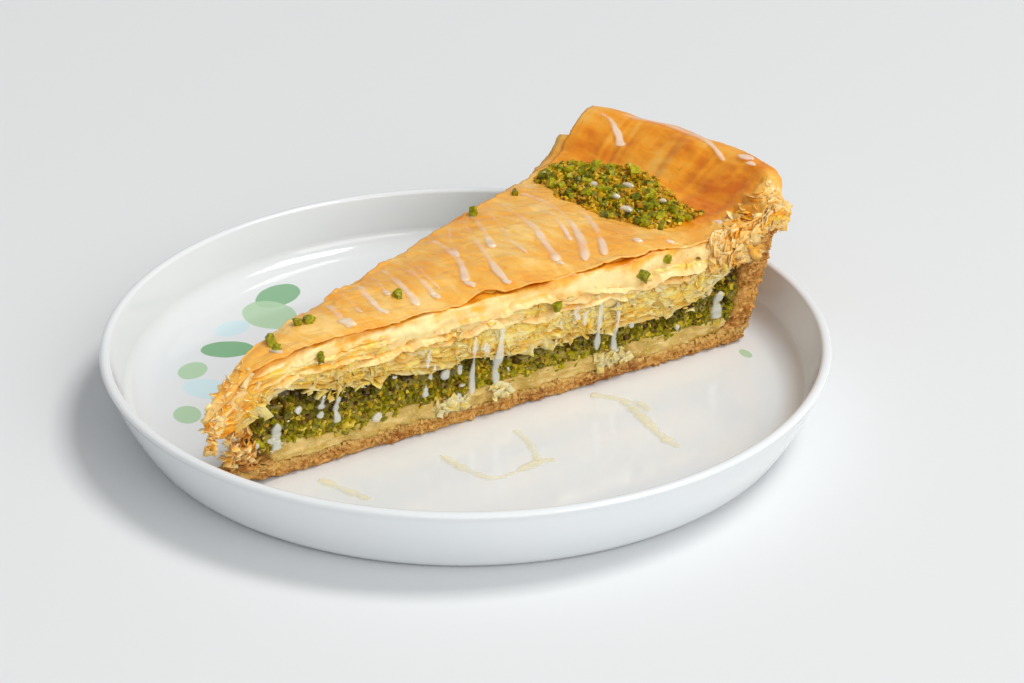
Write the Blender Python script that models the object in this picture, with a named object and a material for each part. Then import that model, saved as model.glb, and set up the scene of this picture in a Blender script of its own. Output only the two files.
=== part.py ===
"""A slice of pistachio baklava pie on its round dessert plate, at its real size.

The origin is the middle of the plate's foot, on the table. +Z is up, and +X runs
from the tip of the slice to its rim. The slice is a sector of a round pie, so its
points are worked out from a reach, the distance from the pie's centre, and a turn,
the angle to the slice's middle line.
"""

import math

import bmesh
import bpy
import numpy as np
from mathutils import Vector, noise

MM = 0.001
GAP = 0.3 * MM
RANDOM_SEED = 11

# The plate: a flat floor, a rounded corner and a low flared wall
PLATE_RADIUS = 85.0 * MM
PLATE_HEIGHT = 17.9 * MM
PLATE_BASE_RADIUS = 76.7 * MM
PLATE_FLOOR = 4.2 * MM
PLATE_LIP = 2.4 * MM
FLAT_FLOOR_RADIUS = 72.5 * MM
INNER_CORNER = Vector((80.2 * MM, 9.4 * MM))
BASE_CORNER = 1.6 * MM
FOOT_RING_OUTER = 75.0 * MM
FOOT_RING_INNER = 70.0 * MM
FOOT_DEPTH = 1.0 * MM
PLATE_STEPS = 60

# The slice: one fourteenth of a pie whose centre lies near the plate's edge
SLICES_IN_PIE = 14
HALF_TURN = math.pi / SLICES_IN_PIE
PIE_CENTRE = Vector((-72.1 * MM, -0.8 * MM))
TIP_WIDTH = 6.0 * MM
TIP_BULGE = 1.6 * MM
TIP_FADE = 7.0 * MM

# Heights of the layers above the table
SLICE_BOTTOM = PLATE_FLOOR + GAP
CRUST_TOP = 7.7 * MM
PASTRY_TOP = 11.9 * MM
FILLING_TOP = 17.7 * MM
SLICE_TOP = 34.8 * MM
TOP_DOME = 1.1 * MM

# The filling is thicker near the tip and where it meets the crust's wall
TIP_RISE = 5.6 * MM
TIP_RISE_REACH = 13.0 * MM
TIP_RISE_WIDTH = 9.0 * MM
WALL_RISE = 6.2 * MM
WALL_RISE_REACH = 127.0 * MM
WALL_RISE_WIDTH = 9.0 * MM

# The crust's wall leans out from the base
BASE_REACH = 139.0 * MM
WALL_TOP = 32.0 * MM
WALL_TOP_REACH = 146.8 * MM
WALL_THICKNESS = 6.0 * MM
INNER_FILLET = 3.5 * MM
WALL_CLEARANCE = 0.8 * MM

# The crust curls up a little at the tip
CURL_HEIGHT = 3.2 * MM
CURL_REACH = 14.0 * MM

# The raised rim of thin sheets that folds out over the wall
VALLEY_REACH = 124.0 * MM
VALLEY_DEPTH = 0.9 * MM
RIM_FOOT_REACH = 136.5 * MM
CREST_REACH = 151.5 * MM
CREST_HEIGHT = 43.6 * MM
RIM_EDGE_REACH = 154.6 * MM
NEAR_END_DROP = 4.4 * MM
NEAR_END_PULL = 3.6 * MM
FAR_END_PULL = 2.4 * MM

# Sheet edges that show at the cut: height share, then how far each stands out
SHEET_LEVELS = (
    (0.00, -0.3), (0.13, 0.5), (0.20, -0.3), (0.34, 0.8), (0.40, -0.2), (0.56, 0.9),
    (0.63, 0.1), (0.72, 1.9), (0.76, 0.3), (0.85, 1.6), (0.89, 0.2), (0.95, 1.0), (1.00, 0.9),
)
SHEET_WAVE = 0.7 * MM
SHEET_STATIONS = 52
WALL_LAG = 0.022

# Strands of icing over the top: (reach in mm, share of the half turn) from edge to edge
STRANDS = (
    ((34.5, 0.80), (31.4, -0.30), (30.9, -0.85)),
    ((46.7, 0.85), (42.9, 0.25), (40.5, -0.55)),
    ((56.5, 0.88), (51.8, 0.11), (48.9, -0.78)),
    ((58.6, 0.45), (56.2, -0.16), (54.7, -0.60)),
    ((76.3, 0.90), (72.0, 0.35), (69.0, -0.05), (63.9, -0.55)),
    ((88.9, 0.90), (79.5, 0.24), (73.4, -0.48), (71.9, -0.88)),
    ((93.1, 0.90), (86.0, 0.45), (79.8, 0.00)),
    ((103.4, 0.85), (97.3, 0.29), (91.0, -0.34), (87.6, -0.75)),
    ((112.0, 0.85), (108.8, 0.34), (101.1, -0.32), (93.6, -0.88)),
    ((112.5, 0.12), (107.0, -0.30), (99.4, -0.86)),
    ((149.8, 0.86), (148.0, 0.70), (142.5, 0.52)),
    ((151.8, 0.72), (152.4, 0.38), (151.4, -0.04), (147.7, -0.38)),
)
STRAND_WIDTH = 1.5 * MM
STRAND_HEIGHT = 0.8 * MM
STRAND_SIDES = 6
STRAND_STEPS = 7

# Loose nut pieces on the top: (reach in mm, share of the half turn)
LOOSE_BITS = (
    (114.0, -0.86), (106.7, -0.90), (81.8, -0.90), (47.7, -0.23), (25.4, 0.31),
    (23.3, 0.55), (15.0, 0.55), (13.8, -0.40), (111.0, 0.88),
)

# The band of chopped nuts in the valley
HEAP_NEAR_TURN = -0.64
HEAP_FAR_TURN = 0.93
HEAP_INNER_REACH = 113.5 * MM
HEAP_OUTER_REACH = 137.5 * MM
HEAP_THICKNESS = 1.9 * MM
HEAP_PIECES = 50
NUT_SIZE = (1.3 * MM, 2.3 * MM)

# What each sub-part is made of: colour, roughness
FINISHES = {
    "plate": ((0.86, 0.88, 0.88), 0.08),
    "crust": ((0.52, 0.27, 0.09), 0.85),
    "lower_pastry": ((0.72, 0.55, 0.22), 0.7),
    "pistachio_filling": ((0.17, 0.19, 0.02), 0.45),
    "filo_top": ((0.85, 0.47, 0.11), 0.4),
    "pistachio_topping": ((0.34, 0.38, 0.03), 0.55),
}


def smooth_step(low, high, value):
    """0 below low, 1 above high, and a smooth ramp between them."""
    share = min(max((value - low) / (high - low), 0.0), 1.0)
    return share * share * (3.0 - 2.0 * share)


def bell(value, middle, width):
    """A bump of height 1 at middle that fades over width."""
    return math.exp(-(((value - middle) / width) ** 2))


def wobble(x, y, seed):
    """Smooth noise between about -0.5 and 0.5 for a place in the plane."""
    return noise.noise(Vector((x, y, seed)))


def plan(reach, turn):
    """The place in the XY plane of a reach and a turn, with the pie's sharp tip made blunt."""
    wide = 0.5 * (reach + math.hypot(reach, 2.0 * TIP_WIDTH))
    blunt = math.exp(-max(reach, 0.0) / TIP_FADE) * (1.0 - (turn / HALF_TURN) ** 2)
    x = PIE_CENTRE.x + reach - wide * (1.0 - math.cos(turn)) - TIP_BULGE * blunt
    y = PIE_CENTRE.y + wide * math.sin(turn)
    return x, y


def along(stations, share):
    """The (reach, height) at a share of the way along the stations, on a smooth curve."""
    points = [Vector(p) for p in stations]
    lengths = [(b - a).length for a, b in zip(points, points[1:])]
    distance = share * sum(lengths)
    index = 0
    while index < len(lengths) - 1 and distance > lengths[index]:
        distance -= lengths[index]
        index += 1
    t = min(distance / lengths[index], 1.0)
    before = points[max(index - 1, 0)]
    after = points[min(index + 2, len(points) - 1)]
    a, b = points[index], points[index + 1]
    return 0.5 * (2 * a + (b - before) * t + (2 * before - 5 * a + 4 * b - after) * t * t
                  + (3 * a - 3 * b + after - before) * t ** 3)


def add_object(name, mesh):
    """Puts a mesh in the scene with its sub-part's material."""
    color, roughness = FINISHES[name]
    material = bpy.data.materials.new(name)
    material.use_nodes = True
    shader = material.node_tree.nodes["Principled BSDF"]
    shader.inputs["Base Color"].default_value = (*color, 1.0)
    shader.inputs["Roughness"].default_value = roughness
    mesh.materials.append(material)
    obj = bpy.data.objects.new(name, mesh)
    bpy.context.scene.collection.objects.link(obj)
    return obj


def finish_mesh(name, work):
    """Turns a closed bmesh into a mesh whose faces point out, shaded smooth except at sharp edges."""
    bmesh.ops.recalc_face_normals(work, faces=work.faces)
    if work.calc_volume(signed=True) < 0.0:
        bmesh.ops.reverse_faces(work, faces=work.faces)
    mesh = bpy.data.meshes.new(name)
    work.to_mesh(mesh)
    work.free()
    mesh.shade_smooth()
    mesh.set_sharp_from_angle(angle=math.radians(40))
    return mesh


def lattice_mesh(name, counts, place):
    """A closed skin on the outside of a box lattice, each point moved to place(u, v, w)."""
    work = bmesh.new()
    corners = {}

    def corner(i, j, k):
        if (i, j, k) not in corners:
            u, v, w = i / counts[0], j / counts[1], k / counts[2]
            corners[i, j, k] = work.verts.new(place(u, v, w))
        return corners[i, j, k]

    for axis in range(3):
        first, second = (axis + 1) % 3, (axis + 2) % 3
        for side in (0, counts[axis]):
            for a in range(counts[first]):
                for b in range(counts[second]):
                    ring = []
                    for da, db in ((0, 0), (1, 0), (1, 1), (0, 1)):
                        key = [0, 0, 0]
                        key[axis], key[first], key[second] = side, a + da, b + db
                        ring.append(corner(*key))
                    work.faces.new(ring)
    return finish_mesh(name, work)


def sector_mesh(name, counts, lower, upper, relief, shares=None):
    """A layer of the slice between two (reach, height) curves, swept over the slice's turn.

    u runs from the tip outwards, v from the near cut to the far cut, and w from the
    lower curve to the upper one. relief(u, v, w) is how far a cut face stands out, and
    shares, where given, are the heights of the levels between the curves.
    """

    def place(u, v, w):
        turn = HALF_TURN * (2.0 * v - 1.0)
        level = shares[round(w * counts[2])] if shares else w
        reach, height = lower(u, turn).lerp(upper(u, turn), level)
        x, y = plan(reach, turn)
        outward = {0.0: -1.0, 1.0: 1.0}.get(v, 0.0)
        out = outward * relief(u, v, w) * smooth_step(-4 * MM, 14 * MM, reach)
        return x - math.sin(turn) * out, y + math.cos(turn) * out, height

    return lattice_mesh(name, counts, place)


def pastry_height(reach, turn):
    """The boundary between the soaked lower pastry and the filling."""
    return PASTRY_TOP + 1.2 * MM * wobble(reach / (14 * MM), turn * 2.0, 1.5)


def filling_height(reach, turn):
    """The boundary between the filling and the sheets above it."""
    rise = TIP_RISE * bell(reach, TIP_RISE_REACH, TIP_RISE_WIDTH)
    rise += WALL_RISE * smooth_step(WALL_RISE_REACH - WALL_RISE_WIDTH, WALL_RISE_REACH + WALL_RISE_WIDTH, reach)
    return FILLING_TOP + rise + 1.6 * MM * wobble(reach / (13 * MM), turn * 2.0, 4.5)


def wall_reach(height, clearance):
    """How far out the inner side of the crust's wall is at a height, less a clearance."""
    slope = (WALL_TOP_REACH - BASE_REACH) / (WALL_TOP - SLICE_BOTTOM)
    fillet = INNER_FILLET * max(1.0 - (height - CRUST_TOP) / INNER_FILLET, 0.0) ** 2
    return BASE_REACH - WALL_THICKNESS + slope * (height - SLICE_BOTTOM) - fillet - clearance


def layer_curve(start, height, share):
    """A curve at height(reach, turn) from start to the wall, whose end leans as the wall does."""

    def curve(u, turn):
        flat_end = wall_reach(CRUST_TOP + INNER_FILLET, WALL_CLEARANCE)
        reach = start + (flat_end - start) * u
        level = height(reach, turn) + share * GAP
        lean = wall_reach(level, WALL_CLEARANCE) - flat_end
        return Vector((reach + lean * u ** 6, level))

    return curve


def make_plate():
    """A profile from the middle of the floor over the lip to the middle of the underside, spun round."""
    rim_inside = Vector((PLATE_RADIUS - PLATE_LIP, PLATE_HEIGHT - 0.9 * MM))
    profile = [Vector((0.0, PLATE_FLOOR)), Vector((FLAT_FLOOR_RADIUS, PLATE_FLOOR))]
    for step in (0.35, 0.65, 1.0):
        # The corner is a quarter of an ellipse from the flat floor to the wall
        angle = step * math.pi / 2
        size = INNER_CORNER - Vector((FLAT_FLOOR_RADIUS, PLATE_FLOOR))
        profile.append(Vector((FLAT_FLOOR_RADIUS + size.x * math.sin(angle),
                               PLATE_FLOOR + size.y * (1.0 - math.cos(angle)))))
    profile.append(rim_inside)
    lip_middle = Vector((PLATE_RADIUS - PLATE_LIP / 2, PLATE_HEIGHT - 0.9 * MM))
    for angle in (45, 90, 135):
        turned = math.radians(180 - angle)
        profile.append(lip_middle + Vector((math.cos(turned) * PLATE_LIP / 2, math.sin(turned) * 0.9 * MM)))
    profile.append(Vector((PLATE_RADIUS, PLATE_HEIGHT - 1.1 * MM)))
    slope = (PLATE_RADIUS - PLATE_BASE_RADIUS) / PLATE_HEIGHT
    belly = 0.5 * MM
    middle = PLATE_HEIGHT / 2
    profile.append(Vector((PLATE_BASE_RADIUS + slope * middle + belly, middle)))
    profile.append(Vector((PLATE_BASE_RADIUS + slope * BASE_CORNER, BASE_CORNER)))
    profile.append(Vector((PLATE_BASE_RADIUS - 0.3 * BASE_CORNER, 0.3 * BASE_CORNER)))
    profile.append(Vector((FOOT_RING_OUTER, 0.0)))
    profile.append(Vector((FOOT_RING_INNER, 0.0)))
    profile.append(Vector((FOOT_RING_INNER - FOOT_DEPTH, FOOT_DEPTH)))
    profile.append(Vector((0.0, FOOT_DEPTH)))

    work = bmesh.new()
    verts = [work.verts.new((p.x, 0.0, p.y)) for p in profile]
    edges = [work.edges.new(pair) for pair in zip(verts, verts[1:])]
    bmesh.ops.spin(work, geom=verts + edges, cent=(0, 0, 0), axis=(0, 0, 1),
                   angle=math.tau, steps=PLATE_STEPS, use_merge=True)
    bmesh.ops.remove_doubles(work, verts=work.verts, dist=1e-6)
    return add_object("plate", finish_mesh("plate", work))


def make_crust():
    """The base and the wall in one bent slab: the lower curve is its outside, the upper one its inside."""
    start = 3.0 * MM
    wall_lean = (WALL_TOP_REACH - BASE_REACH) / (WALL_TOP - SLICE_BOTTOM)

    def outside(share):
        return Vector((BASE_REACH + wall_lean * share * (WALL_TOP - SLICE_BOTTOM),
                       SLICE_BOTTOM + share * (WALL_TOP - SLICE_BOTTOM)))

    def inside(share):
        height = CRUST_TOP + share * (WALL_TOP - 0.6 * MM - CRUST_TOP)
        return Vector((wall_reach(height, 0.0), height))

    lower = [Vector((start + (BASE_REACH - 2 * MM - start) * k / 9, SLICE_BOTTOM)) for k in range(10)]
    upper = [Vector((start + (BASE_REACH - WALL_THICKNESS - INNER_FILLET - start) * k / 9, CRUST_TOP))
             for k in range(10)]
    shares = (0.06, 0.16, 0.3, 0.5, 0.75, 1.0)
    lower += [outside(share) for share in shares]
    upper += [inside(share) for share in shares]
    last = len(lower) - 1

    def at(points, u):
        index = min(int(u * last), last - 1)
        return points[index].lerp(points[index + 1], u * last - index)

    def curl(reach):
        return CURL_HEIGHT * max(1.0 - reach / CURL_REACH, 0.0) ** 2

    def low(u, turn):
        reach, height = at(lower, u)
        return Vector((reach, height + curl(reach)))

    def high(u, turn):
        reach, height = at(upper, u)
        grain = 0.5 * MM * wobble(reach / (9 * MM), turn * 12.0, 8.5) * (1.0 - u)
        return Vector((reach, height + curl(reach) + grain))

    def crumble(u, v, w):
        return 0.9 * MM * wobble(u * 43.0, w * 1.7 + v * 5.0, 12.5) + 0.3 * MM * math.sin(math.pi * w)

    return add_object("crust", sector_mesh("crust", (3 * last, 8, 2), low, high, crumble))


def make_lower_pastry():
    """The pale soaked pastry between the crust and the nuts."""

    def relief(u, v, w):
        return 0.8 * MM * wobble(u * 37.0, w * 1.5 + v * 4.0, 17.5) + 0.2 * MM

    def base(reach, turn):
        return CRUST_TOP + 0.5 * MM

    start = 12.0 * MM
    mesh = sector_mesh("lower_pastry", (40, 2, 2), layer_curve(start, base, 1.0),
                       layer_curve(start, pastry_height, -0.5), relief)
    return add_object("lower_pastry", mesh)


def make_filling():
    """The layer of chopped pistachios in syrup."""

    def relief(u, v, w):
        coarse = wobble(u * 31.0, w * 1.6 + v * 3.0, 21.5)
        fine = wobble(u * 83.0, w * 4.0 + v * 3.0, 25.5)
        return (1.5 * coarse + 0.9 * fine) * MM - 0.4 * MM

    start = 8.5 * MM
    mesh = sector_mesh("pistachio_filling", (52, 4, 4), layer_curve(start, pastry_height, 0.5),
                       layer_curve(start, filling_height, -0.5), relief)
    return add_object("pistachio_filling", mesh)


def sheet_top(turn):
    """The upper outline of the sheets from the blunt tip to the rim's outer edge, for one turn."""
    share = turn / HALF_TURN
    dome = TOP_DOME * (1.0 - share * share)
    near_end = smooth_step(-0.72, -1.0, share)
    crest = CREST_HEIGHT - NEAR_END_DROP * near_end + 0.9 * MM * wobble(share * 2.1, 0.0, 31.5)
    out = CREST_REACH + 1.6 * MM * wobble(share * 2.6, 0.0, 35.5) - NEAR_END_PULL * near_end
    slope = crest - SLICE_TOP
    return (
        (-4.6 * MM, 23.2 * MM),
        (-1.5 * MM, 27.0 * MM),
        (4.0 * MM, 30.8 * MM),
        (12.0 * MM, 33.4 * MM + 0.4 * dome),
        (28.0 * MM, SLICE_TOP + 0.8 * dome),
        (60.0 * MM, SLICE_TOP + dome),
        (98.0 * MM, SLICE_TOP + dome),
        (VALLEY_REACH - 11 * MM, SLICE_TOP + 0.5 * dome),
        (VALLEY_REACH, SLICE_TOP - VALLEY_DEPTH),
        (RIM_FOOT_REACH, SLICE_TOP + 0.10 * slope),
        (RIM_FOOT_REACH + 6 * MM, SLICE_TOP + 0.50 * slope),
        (out - 3 * MM, SLICE_TOP + 0.93 * slope),
        (out, crest),
        (out + 2 * MM, crest - 0.3 * MM),
        (RIM_EDGE_REACH - NEAR_END_PULL * near_end, crest - 1.4 * MM),
    )


def sheet_under(turn):
    """The lower outline of the sheets: over the filling, up inside the wall and out over its top."""
    over_wall = WALL_TOP + GAP + 0.3 * MM
    points = [(-2.0 * MM, 18.0 * MM)]
    for step in range(43):
        reach = (6.0 + 3.0 * step) * MM
        points.append((reach, filling_height(reach, turn) + GAP))
    points.append((wall_reach(26.5 * MM, WALL_CLEARANCE), 26.5 * MM))
    points.append((wall_reach(30.0 * MM, WALL_CLEARANCE), 30.0 * MM))
    points.append((wall_reach(WALL_TOP, -0.3 * MM), over_wall))
    points.append((WALL_TOP_REACH + 3.2 * MM, over_wall + 0.8 * MM))
    return tuple(points)


def top_point(u, turn):
    """The (reach, height) of the creased top sheet at a share u of its outline.

    Over the crust's wall the top lags behind, because there the underside climbs steeply.
    """
    point = along(sheet_top(turn), u - WALL_LAG * bell(u, 0.93, 0.05))
    crease = 0.5 * MM * wobble(point.x / (16 * MM), turn * 5.0, 41.5)
    return Vector((point.x, point.y + crease * smooth_step(-5 * MM, 10 * MM, point.x)))


def top_height(reach, turn):
    """The height of the top sheet at a reach and a turn."""
    points = [top_point(k / SHEET_STATIONS, turn) for k in range(SHEET_STATIONS + 1)]
    return float(np.interp(reach, [p.x for p in points], [p.y for p in points]))


def make_sheets():
    """The stack of thin baked sheets, with the edges of some standing out at the cut."""
    levels = len(SHEET_LEVELS) - 1

    def under(u, turn):
        return along(sheet_under(turn), u)

    def relief(u, v, w):
        out = SHEET_LEVELS[round(w * levels)][1] * MM
        wave = wobble(u * 16.0, w * 3.0 + v * 9.0, 45.5) + 0.6 * wobble(u * 39.0, w * 7.0, 47.5)
        pull = FAR_END_PULL * smooth_step(0.85, 0.93, u) * smooth_step(0.1, 0.5, w) * v
        return out * (1.0 + wave) + SHEET_WAVE * wave - pull

    shares = [share for share, _ in SHEET_LEVELS]
    counts = (SHEET_STATIONS, 8, levels)
    return add_object("filo_top", sector_mesh("filo_top", counts, under, top_point, relief, shares))


def strand_mesh(strand):
    """A flat tube of icing along the top, from a few points joined by a smooth curve."""
    middle = [along([(reach, share * 100.0) for reach, share in strand], k / STRAND_STEPS)
              for k in range(STRAND_STEPS + 1)]
    points = []
    for reach, share in middle:
        turn = HALF_TURN * share / 100.0
        x, y = plan(reach * MM, turn)
        points.append(Vector((x, y, top_height(reach * MM, turn) + 0.2 * MM)))
    work = bmesh.new()
    rings = []
    for index, point in enumerate(points):
        ahead = points[min(index + 1, STRAND_STEPS)] - points[max(index - 1, 0)]
        side = ahead.cross(Vector((0, 0, 1))).normalized()
        up = side.cross(ahead).normalized()
        thin = 0.45 + 0.55 * math.sin(math.pi * index / STRAND_STEPS)
        ring = []
        for k in range(STRAND_SIDES):
            angle = math.tau * k / STRAND_SIDES
            across = side * math.cos(angle) * STRAND_WIDTH / 2 + up * math.sin(angle) * STRAND_HEIGHT / 2
            ring.append(work.verts.new(point + across * thin))
        rings.append(ring)
    for first, second in zip(rings, rings[1:]):
        for k in range(STRAND_SIDES):
            n = (k + 1) % STRAND_SIDES
            work.faces.new((first[k], first[n], second[n], second[k]))
    work.faces.new(rings[0])
    work.faces.new(list(reversed(rings[-1])))
    return finish_mesh("strand", work)


def nut_mesh(place, size, draw):
    """A chopped nut: a twenty-sided ball, squeezed, turned and dented at random."""
    work = bmesh.new()
    bmesh.ops.create_icosphere(work, subdivisions=1, radius=size / 2)
    squeeze = draw.uniform((0.9, 0.6, 0.5), (1.3, 1.0, 0.8))
    spin = draw.uniform(-math.pi, math.pi, 2)
    for vert in work.verts:
        vert.co *= draw.uniform(0.85, 1.15)
        vert.co.x, vert.co.y, vert.co.z = vert.co.x * squeeze[0], vert.co.y * squeeze[1], vert.co.z * squeeze[2]
        tilted = vert.co.y * math.cos(spin[1] / 6) - vert.co.z * math.sin(spin[1] / 6)
        raised = vert.co.y * math.sin(spin[1] / 6) + vert.co.z * math.cos(spin[1] / 6)
        turned = vert.co.x * math.cos(spin[0]) - tilted * math.sin(spin[0])
        aside = vert.co.x * math.sin(spin[0]) + tilted * math.cos(spin[0])
        vert.co = Vector((turned, aside, raised)) + Vector(place)
    return finish_mesh("nut", work)


def fuse(body, meshes):
    """Joins small meshes to a body with one Boolean union, and removes them afterwards."""
    pieces = bpy.data.collections.new("pieces")
    bpy.context.scene.collection.children.link(pieces)
    for mesh in meshes:
        pieces.objects.link(bpy.data.objects.new(mesh.name, mesh))
    union = body.modifiers.new("toppings", "BOOLEAN")
    union.operation = "UNION"
    union.operand_type = "COLLECTION"
    union.collection = pieces
    union.solver = "MANIFOLD"
    bpy.context.view_layer.update()
    graph = bpy.context.evaluated_depsgraph_get()
    joined = bpy.data.meshes.new_from_object(body.evaluated_get(graph))
    body.modifiers.remove(union)
    body.data = joined
    for piece in list(pieces.objects):
        bpy.data.objects.remove(piece)
    bpy.data.collections.remove(pieces)


def dress_sheets(sheets, draw):
    """Fuses the icing strands and the loose nuts to the top sheet."""
    meshes = [strand_mesh(strand) for strand in STRANDS]
    for reach, share in LOOSE_BITS:
        turn = HALF_TURN * share
        x, y = plan(reach * MM, turn)
        height = top_height(reach * MM, turn) + 0.1 * MM
        meshes.append(nut_mesh((x, y, height), draw.uniform(*NUT_SIZE), draw))
    fuse(sheets, meshes)


def heap_thickness(u, v):
    """How thick the band of nuts is, from 0 at its outline to full at its middle."""
    inside = min(1.0, 3.2 * min(u, 1.0 - u)) * min(1.0, 5.0 * min(v, 1.0 - v))
    return HEAP_THICKNESS * math.sqrt(max(inside, 0.0)) * (1.0 + 0.9 * wobble(u * 4.0, v * 9.0, 51.5))


def heap_place(u, v):
    """Reach and turn in the band of nuts, whose ends are narrower than its middle."""
    turn = HALF_TURN * (HEAP_NEAR_TURN + (HEAP_FAR_TURN - HEAP_NEAR_TURN) * v)
    narrow = 0.62 + 0.38 * math.sin(math.pi * min(max(v, 0.04), 0.96))
    middle = (HEAP_INNER_REACH + HEAP_OUTER_REACH) / 2
    reach = middle + (HEAP_OUTER_REACH - HEAP_INNER_REACH) * (u - 0.5) * narrow
    return reach + 2.0 * MM * wobble(v * 7.0, u * 2.0, 55.5), turn


def make_topping(draw):
    """The band of chopped nuts: a low core that lies in the valley, with pieces fused on."""
    clear = 0.5 * MM + GAP

    def place(u, v, w):
        reach, turn = heap_place(u, v)
        floor = top_height(reach, turn) + clear
        x, y = plan(reach, turn)
        return x, y, floor + w * (0.5 * MM + heap_thickness(u, v))

    topping = add_object("pistachio_topping", lattice_mesh("pistachio_topping", (6, 14, 1), place))
    meshes = []
    for k in range(HEAP_PIECES):
        # Golden-ratio steps spread the pieces evenly over the band
        u = 0.08 + 0.84 * ((k * 0.618034) % 1.0)
        v = 0.05 + 0.90 * (k + 0.5) / HEAP_PIECES
        size = draw.uniform(*NUT_SIZE)
        reach, turn = heap_place(u, v)
        x, y = plan(reach, turn)
        height = top_height(reach, turn) + clear + max(0.5 * MM + heap_thickness(u, v), 0.75 * size)
        meshes.append(nut_mesh((x, y, height - 0.1 * size), size, draw))
    fuse(topping, meshes)
    return topping


def main():
    for obj in list(bpy.data.objects):
        bpy.data.objects.remove(obj, do_unlink=True)
    draw = np.random.default_rng(RANDOM_SEED)
    make_plate()
    make_crust()
    make_lower_pastry()
    make_filling()
    sheets = make_sheets()
    dress_sheets(sheets, draw)
    make_topping(draw)


main()
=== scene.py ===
# %% [markdown]
# # A slice of pistachio baklava pie on its dessert plate
#
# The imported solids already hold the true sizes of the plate, the crust, the soaked
# pastry, the nut filling, the baked sheets and the band of chopped nuts. This lesson
# dresses them: each solid is replaced by finer surfaces worked out with numpy, which
# keep its form and add flakes, grains, icing and glaze.

import math

import bpy
import numpy as np
from mathutils import Matrix, Vector, noise as field


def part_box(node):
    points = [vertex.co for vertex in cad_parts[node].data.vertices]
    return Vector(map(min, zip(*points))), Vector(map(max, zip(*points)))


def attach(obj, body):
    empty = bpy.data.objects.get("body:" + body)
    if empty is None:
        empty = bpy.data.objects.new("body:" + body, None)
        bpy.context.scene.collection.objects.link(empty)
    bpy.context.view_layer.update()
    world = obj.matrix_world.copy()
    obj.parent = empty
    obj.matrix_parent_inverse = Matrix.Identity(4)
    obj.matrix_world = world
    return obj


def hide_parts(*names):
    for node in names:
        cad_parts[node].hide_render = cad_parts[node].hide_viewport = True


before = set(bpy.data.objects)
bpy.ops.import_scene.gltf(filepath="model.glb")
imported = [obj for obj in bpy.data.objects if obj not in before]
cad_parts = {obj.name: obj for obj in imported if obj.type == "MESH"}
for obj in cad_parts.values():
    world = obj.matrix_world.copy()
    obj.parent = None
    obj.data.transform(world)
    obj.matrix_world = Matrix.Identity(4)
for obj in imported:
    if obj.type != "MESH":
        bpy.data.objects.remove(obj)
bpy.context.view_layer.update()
print("packed nodes:", sorted(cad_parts))

# %% [markdown]
# ## Sizes
#
# Every length below is in millimetres, and turns into metres only when a mesh is
# made. The plate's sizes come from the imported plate. The slice is a sector of a round
# pie, so a place in it is a reach, the distance from the pie's centre, and a share,
# which runs from -1 at the near cut to 1 at the far cut.

# %% Driving sizes
MM = 0.001

plate_corner = np.array(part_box("plate")[1]) / MM
PLATE_RADIUS = float(plate_corner[0])
PLATE_HEIGHT = float(plate_corner[2])
PLATE_FLOOR = 4.2
PLATE_LIP = 2.4
PLATE_BASE_RADIUS = 76.7
FLAT_FLOOR_RADIUS = 72.5
INNER_CORNER = (80.2, 9.4)

HALF_TURN = math.pi / 14
PIE_CENTRE = (-72.1, -0.8)
TIP_WIDTH = 6.0
TIP_BULGE = 1.6
TIP_FADE = 7.0

SLICE_BOTTOM = 4.5
CRUST_TOP = 7.7
PASTRY_TOP = 11.9
FILLING_TOP = 17.7
SLICE_TOP = 34.8
TOP_DOME = 1.1

BASE_REACH = 139.0
WALL_TOP = 32.0
WALL_TOP_REACH = 146.8
WALL_THICKNESS = 6.0
INNER_FILLET = 3.5
WALL_CLEARANCE = 0.8

CREST_REACH = 151.5
CREST_HEIGHT = 43.6
RIM_EDGE_REACH = 154.6
print(f"plate {2 * PLATE_RADIUS:.1f} mm across, {PLATE_HEIGHT:.1f} mm high")

# %% [markdown]
# ## Noise
#
# Baked and broken food is uneven at every scale. Value noise gives that: each whole
# number corner of space gets a repeatable random value, and the values are blended
# smoothly between the corners. It works on whole arrays, so a surface of a hundred
# thousand points takes a moment.

# %% Noise helpers
def smooth_step(low, high, value):
    """0 below low, 1 above high, and 3t² - 2t³ between them."""
    share = np.clip((value - low) / (high - low), 0.0, 1.0)
    return share * share * (3.0 - 2.0 * share)


def away_from_tip(reach):
    """0 before the tip and 1 from 14 mm on: what stands out of the cuts fades out towards the tip."""
    return smooth_step(-4.0, 14.0, reach)


def corner_value(x, y, z, seed):
    """A repeatable number from -1 to 1 for a whole-number corner, by mixing its bits."""
    mixed = (x * 374761393 + y * 668265263 + z * 1103515245 + seed * 362437) & 0xFFFFFFFF
    mixed = ((mixed ^ (mixed >> 13)) * 1274126177) & 0xFFFFFFFF
    return ((mixed ^ (mixed >> 16)) & 0xFFFF) / 32767.5 - 1.0


def noise(x, y, z, seed=0):
    """Smooth noise from -1 to 1: the eight corner values round a point, blended by 3t² - 2t³."""
    x, y, z = np.broadcast_arrays(*(np.asarray(value, float) for value in (x, y, z)))
    whole = [np.floor(value).astype(np.int64) for value in (x, y, z)]
    ramp = [smooth_step(0.0, 1.0, value - low) for value, low in zip((x, y, z), whole)]
    total = np.zeros(x.shape)
    for corner in range(8):
        steps = (corner & 1, corner >> 1 & 1, corner >> 2 & 1)
        weight = 1.0
        for step, share in zip(steps, ramp):
            weight = weight * (share if step else 1.0 - share)
        total += weight * corner_value(*(low + step for low, step in zip(whole, steps)), seed)
    return total


def rough(x, y, z, seed=0, octaves=3):
    """Noise over noise: each octave is half as large and half as strong as the one before."""
    total, strength = 0.0, 1.0
    for octave in range(octaves):
        size = 2.03 ** octave
        total = total + strength * noise(x * size + octave * 7.3, y * size, z * size, seed + octave)
        strength *= 0.5
    return total


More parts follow.
